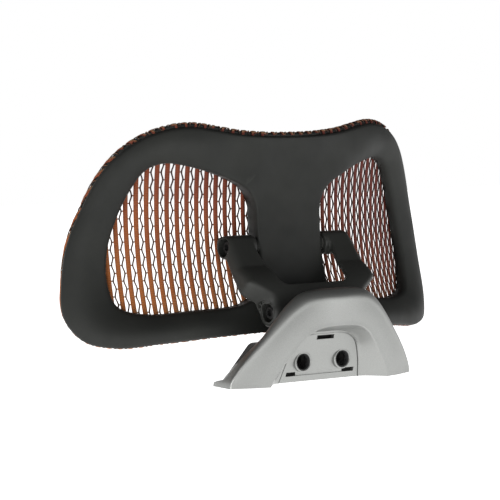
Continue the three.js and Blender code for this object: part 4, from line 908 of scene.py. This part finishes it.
def make_hood():
    rows = []
    for (dx, dh), outer, inner in hood_sections():
        rows.append([(dx * r, y, HOOD_BOTTOM_Z + dh * r) for r, y in outer + inner[::-1]])
    count = len(rows[0])
    half = count // 2
    points = [p for row in rows for p in row]
    pole, back_pole = len(points), len(points) + 1
    points += [(0, plate_y(0), HOOD_BOTTOM_Z), (0, plate_y(0) + HOOD_WALL, HOOD_BOTTOM_Z)]
    faces = []
    for s in range(len(rows) - 1):
        a, b = s * count, (s + 1) * count
        faces += [(pole, b, a), (back_pole, a + count - 1, b + count - 1)]
        faces += [(a + i, b + i, b + i + 1, a + i + 1) for i in range(count - 1)]
    for start, flip in ((0, False), ((len(rows) - 1) * count, True)):
        end = start + count - 1
        strip = [(start + i, start + i + 1, end - 1 - i, end - i) for i in range(half - 1)]
        strip.append((pole, start, end, back_pole))
        faces += [f[::-1] for f in strip] if flip else strip
    hood = piece("bracket_hood_shell", points, faces, "bracket", "silver", SILVER)
    for side in (-1, 1):
        screw = (side * HOOD_SCREW_X, 0, HOOD_SCREW_Z)
        boolean(hood, cutter(rod(BOSS_REAR_Y, CORE_REAR_Y - GAP, BOSS_RADIUS, screw, "y")), "UNION")
        boolean(hood, cutter(rod(BOSS_REAR_Y + BOSS_FLOOR, HOLE_CUT_Y[1], PILOT_RADIUS, screw, "y")))
        boolean(hood, cutter(rod(*HOLE_CUT_Y, HOLE_RADIUS, (side * HOLE_X, 0, 0), "y", 96)))
    z = HOOD_BOTTOM_Z + TOP_SLOT_HEIGHT
    boolean(hood, cutter(block((0, plate_y(TOP_SLOT_HEIGHT), z), (TOP_SLOT[0], TOP_SLOT_CUT, TOP_SLOT[1]))))
    y, z = plate_y(GUTTER_HEIGHT), HOOD_BOTTOM_Z + GUTTER_HEIGHT
    gutter_y = y + (GUTTER_DEPTH - GUTTER_CUT) / 2
    boolean(hood, cutter(block((0, gutter_y, z), (GUTTER[0], GUTTER_DEPTH + GUTTER_CUT, GUTTER[1]))))
    for side in (-1, 1):
        x = side * (GUTTER[0] - GUTTER_SLOT_WIDTH) / 2
        boolean(hood, cutter(block((x, y, z), (GUTTER_SLOT_WIDTH, 2 * GUTTER_CUT, GUTTER[1]))))
    return hood


hood = make_hood()
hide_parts("bracket_hood")
edge_bevel(hood, 0.35, 38)
bake(hood)
hood.data.set_sharp_from_angle(angle=math.radians(40))

RIM_FOOT, RIM_SHOULDER, RIM_CREST = 1, 1.7, 2.2  # the foot's depth in the plate and two heights behind it
GUIDE_REAR, GUIDE_MOUTH, GUIDE_FRONT, GUIDE_ROUND = 1.9, 1.7, 3.2, 0.2

for side, label in ((-1, "left"), (1, "right")):
    y = plate_y(-HOOD_BOTTOM_Z)
    inner, outer = HOLE_RADIUS - 0.05, HOLE_RADIUS + HOLE_RIM
    rim = [(y + RIM_FOOT, inner), (y - RIM_SHOULDER, inner), (y - RIM_CREST, HOLE_RADIUS + 0.35),
           (y - RIM_CREST, HOLE_RADIUS + 0.95), (y - RIM_SHOULDER, outer), (y + RIM_FOOT, outer)]
    piece(f"hole_rim_{label}", *turned(rim, (side * HOLE_X, 0, 0), "y", 96), "bracket", "silver", SILVER)
    bore, wall = HOLE_RADIUS - 0.1, HOLE_RADIUS - 0.7
    guide = [
        (y - GUIDE_REAR, wall + GUIDE_ROUND), (y - GUIDE_REAR, bore - GUIDE_ROUND), (y - GUIDE_MOUTH, bore),
        (y + GUIDE_FRONT, bore), (y + GUIDE_FRONT, wall), (y - GUIDE_MOUTH, wall),
    ]
    piece(f"screw_guide_{label}", *turned(guide, (side * HOLE_X, 0, 0), "y", 96), "bracket", "black", RUBBER)

# ------------------------------------------------------------ CAD nodes that are shown as they are


def finish_node(name, mat, width):
    """Gives a CAD node its material and small round edges."""
    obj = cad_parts[name]
    obj.data.materials.clear()
    obj.data.materials.append(mat)
    edge_bevel(obj, width, 35)


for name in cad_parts:
    if name == "bracket_core":
        finish_node(name, CORE_BLACK, 0.9)
    elif name == "mesh_spline":
        finish_node(name, RUBBER, 0.3)
    elif "bush" in name or "friction" in name:
        finish_node(name, BUSHING, 0.12)
    elif "screw" in name or "nut" in name or "washer" in name or "spring" in name:
        finish_node(name, STEEL, 0.15)

# ------------------------------------------------------------ camera, light and floor

CAMERA_AZIMUTH, CAMERA_ELEVATION = math.radians(35.662), math.radians(4.553)
CAMERA_SCALE, CAMERA_DISTANCE = 1.15, 1600
CAMERA_SIDE, CAMERA_LIFT = 30.735, 22.378
SENSOR_WIDTH, CAMERA_LENS = 36, 173.72448
FLOOR_Z, FLOOR_HALF_WIDTH = -0.30, 6  # in metres, as the lights below


def make_camera():
    """The camera stands behind and to the left of the part, a little above it."""
    a, e = CAMERA_AZIMUTH, CAMERA_ELEVATION
    right = Vector((math.cos(a), -math.sin(a), 0))
    forward = Vector((math.sin(a) * math.cos(e), math.cos(a) * math.cos(e), -math.sin(e)))
    up = right.cross(forward)
    shift = CAMERA_SIDE * right + CAMERA_LIFT * up + CAMERA_DISTANCE * forward
    data = bpy.data.cameras.new("camera")
    data.sensor_width = SENSOR_WIDTH
    data.lens = CAMERA_LENS
    data.clip_end = 20
    camera = bpy.data.objects.new("camera", data)
    turn = Matrix((right, up, -forward)).transposed().to_4x4()
    place = (Vector((0, 0, PAD_CENTRE_Z)) - CAMERA_SCALE * shift) * MM
    camera.matrix_world = Matrix.Translation(place) @ turn
    bpy.context.scene.collection.objects.link(camera)
    bpy.context.scene.camera = camera


def area_light(name, place, target, size, power):
    data = bpy.data.lights.new(name, "AREA")
    data.shape = "RECTANGLE"
    data.size, data.size_y = size
    data.energy = power
    light = bpy.data.objects.new(name, data)
    light.location = place
    light.rotation_euler = (Vector(target) - Vector(place)).to_track_quat("-Z", "Y").to_euler()
    bpy.context.scene.collection.objects.link(light)


def make_stage():
    mesh = bpy.data.meshes.new("floor")
    half = FLOOR_HALF_WIDTH
    corners = [(x, y, FLOOR_Z) for x, y in ((-half, -half), (half, -half), (half, half), (-half, half))]
    mesh.from_pydata(corners, [], [(0, 1, 2, 3)])
    floor = bpy.data.objects.new("floor", mesh)
    bpy.context.scene.collection.objects.link(floor)
    pale = material("pale_floor", (0.93, 0.93, 0.93), 0.9, Emission_Strength=1.3)
    pale.node_tree.nodes["Principled BSDF"].inputs["Emission Color"].default_value = (1, 1, 1, 1)
    mesh.materials.append(pale)
    world = bpy.data.worlds.new("studio")
    bpy.context.scene.world = world
    world.use_nodes = True
    split = node(world, "ShaderNodeSeparateXYZ")
    link(world, node(world, "ShaderNodeTexCoord").outputs["Generated"], split.inputs[0])
    levels = [(0.06, 1.0), (0.16, 0.5), (0.4, 0.12), (1.0, 0.05)]
    sky = ramp(world, split.outputs[2], [(position, (level,) * 3) for position, level in levels])
    background = world.node_tree.nodes["Background"]
    link(world, sky, background.inputs["Color"])
    background.inputs["Strength"].default_value = 1.0
    bpy.context.scene.view_settings.view_transform = "Standard"
    target = (0, 0, 0.06)
    area_light("key_left", (-1.35, -0.75, -0.1), target, (0.9, 0.9), 9)
    area_light("fill_right", (0.9, -1.3, 0.2), target, (0.8, 0.8), 2)
    area_light("front_glow", (0.3, 1.6, 0.5), (0, 0, 0.12), (1.6, 1.2), 9)


make_camera()
make_stage()
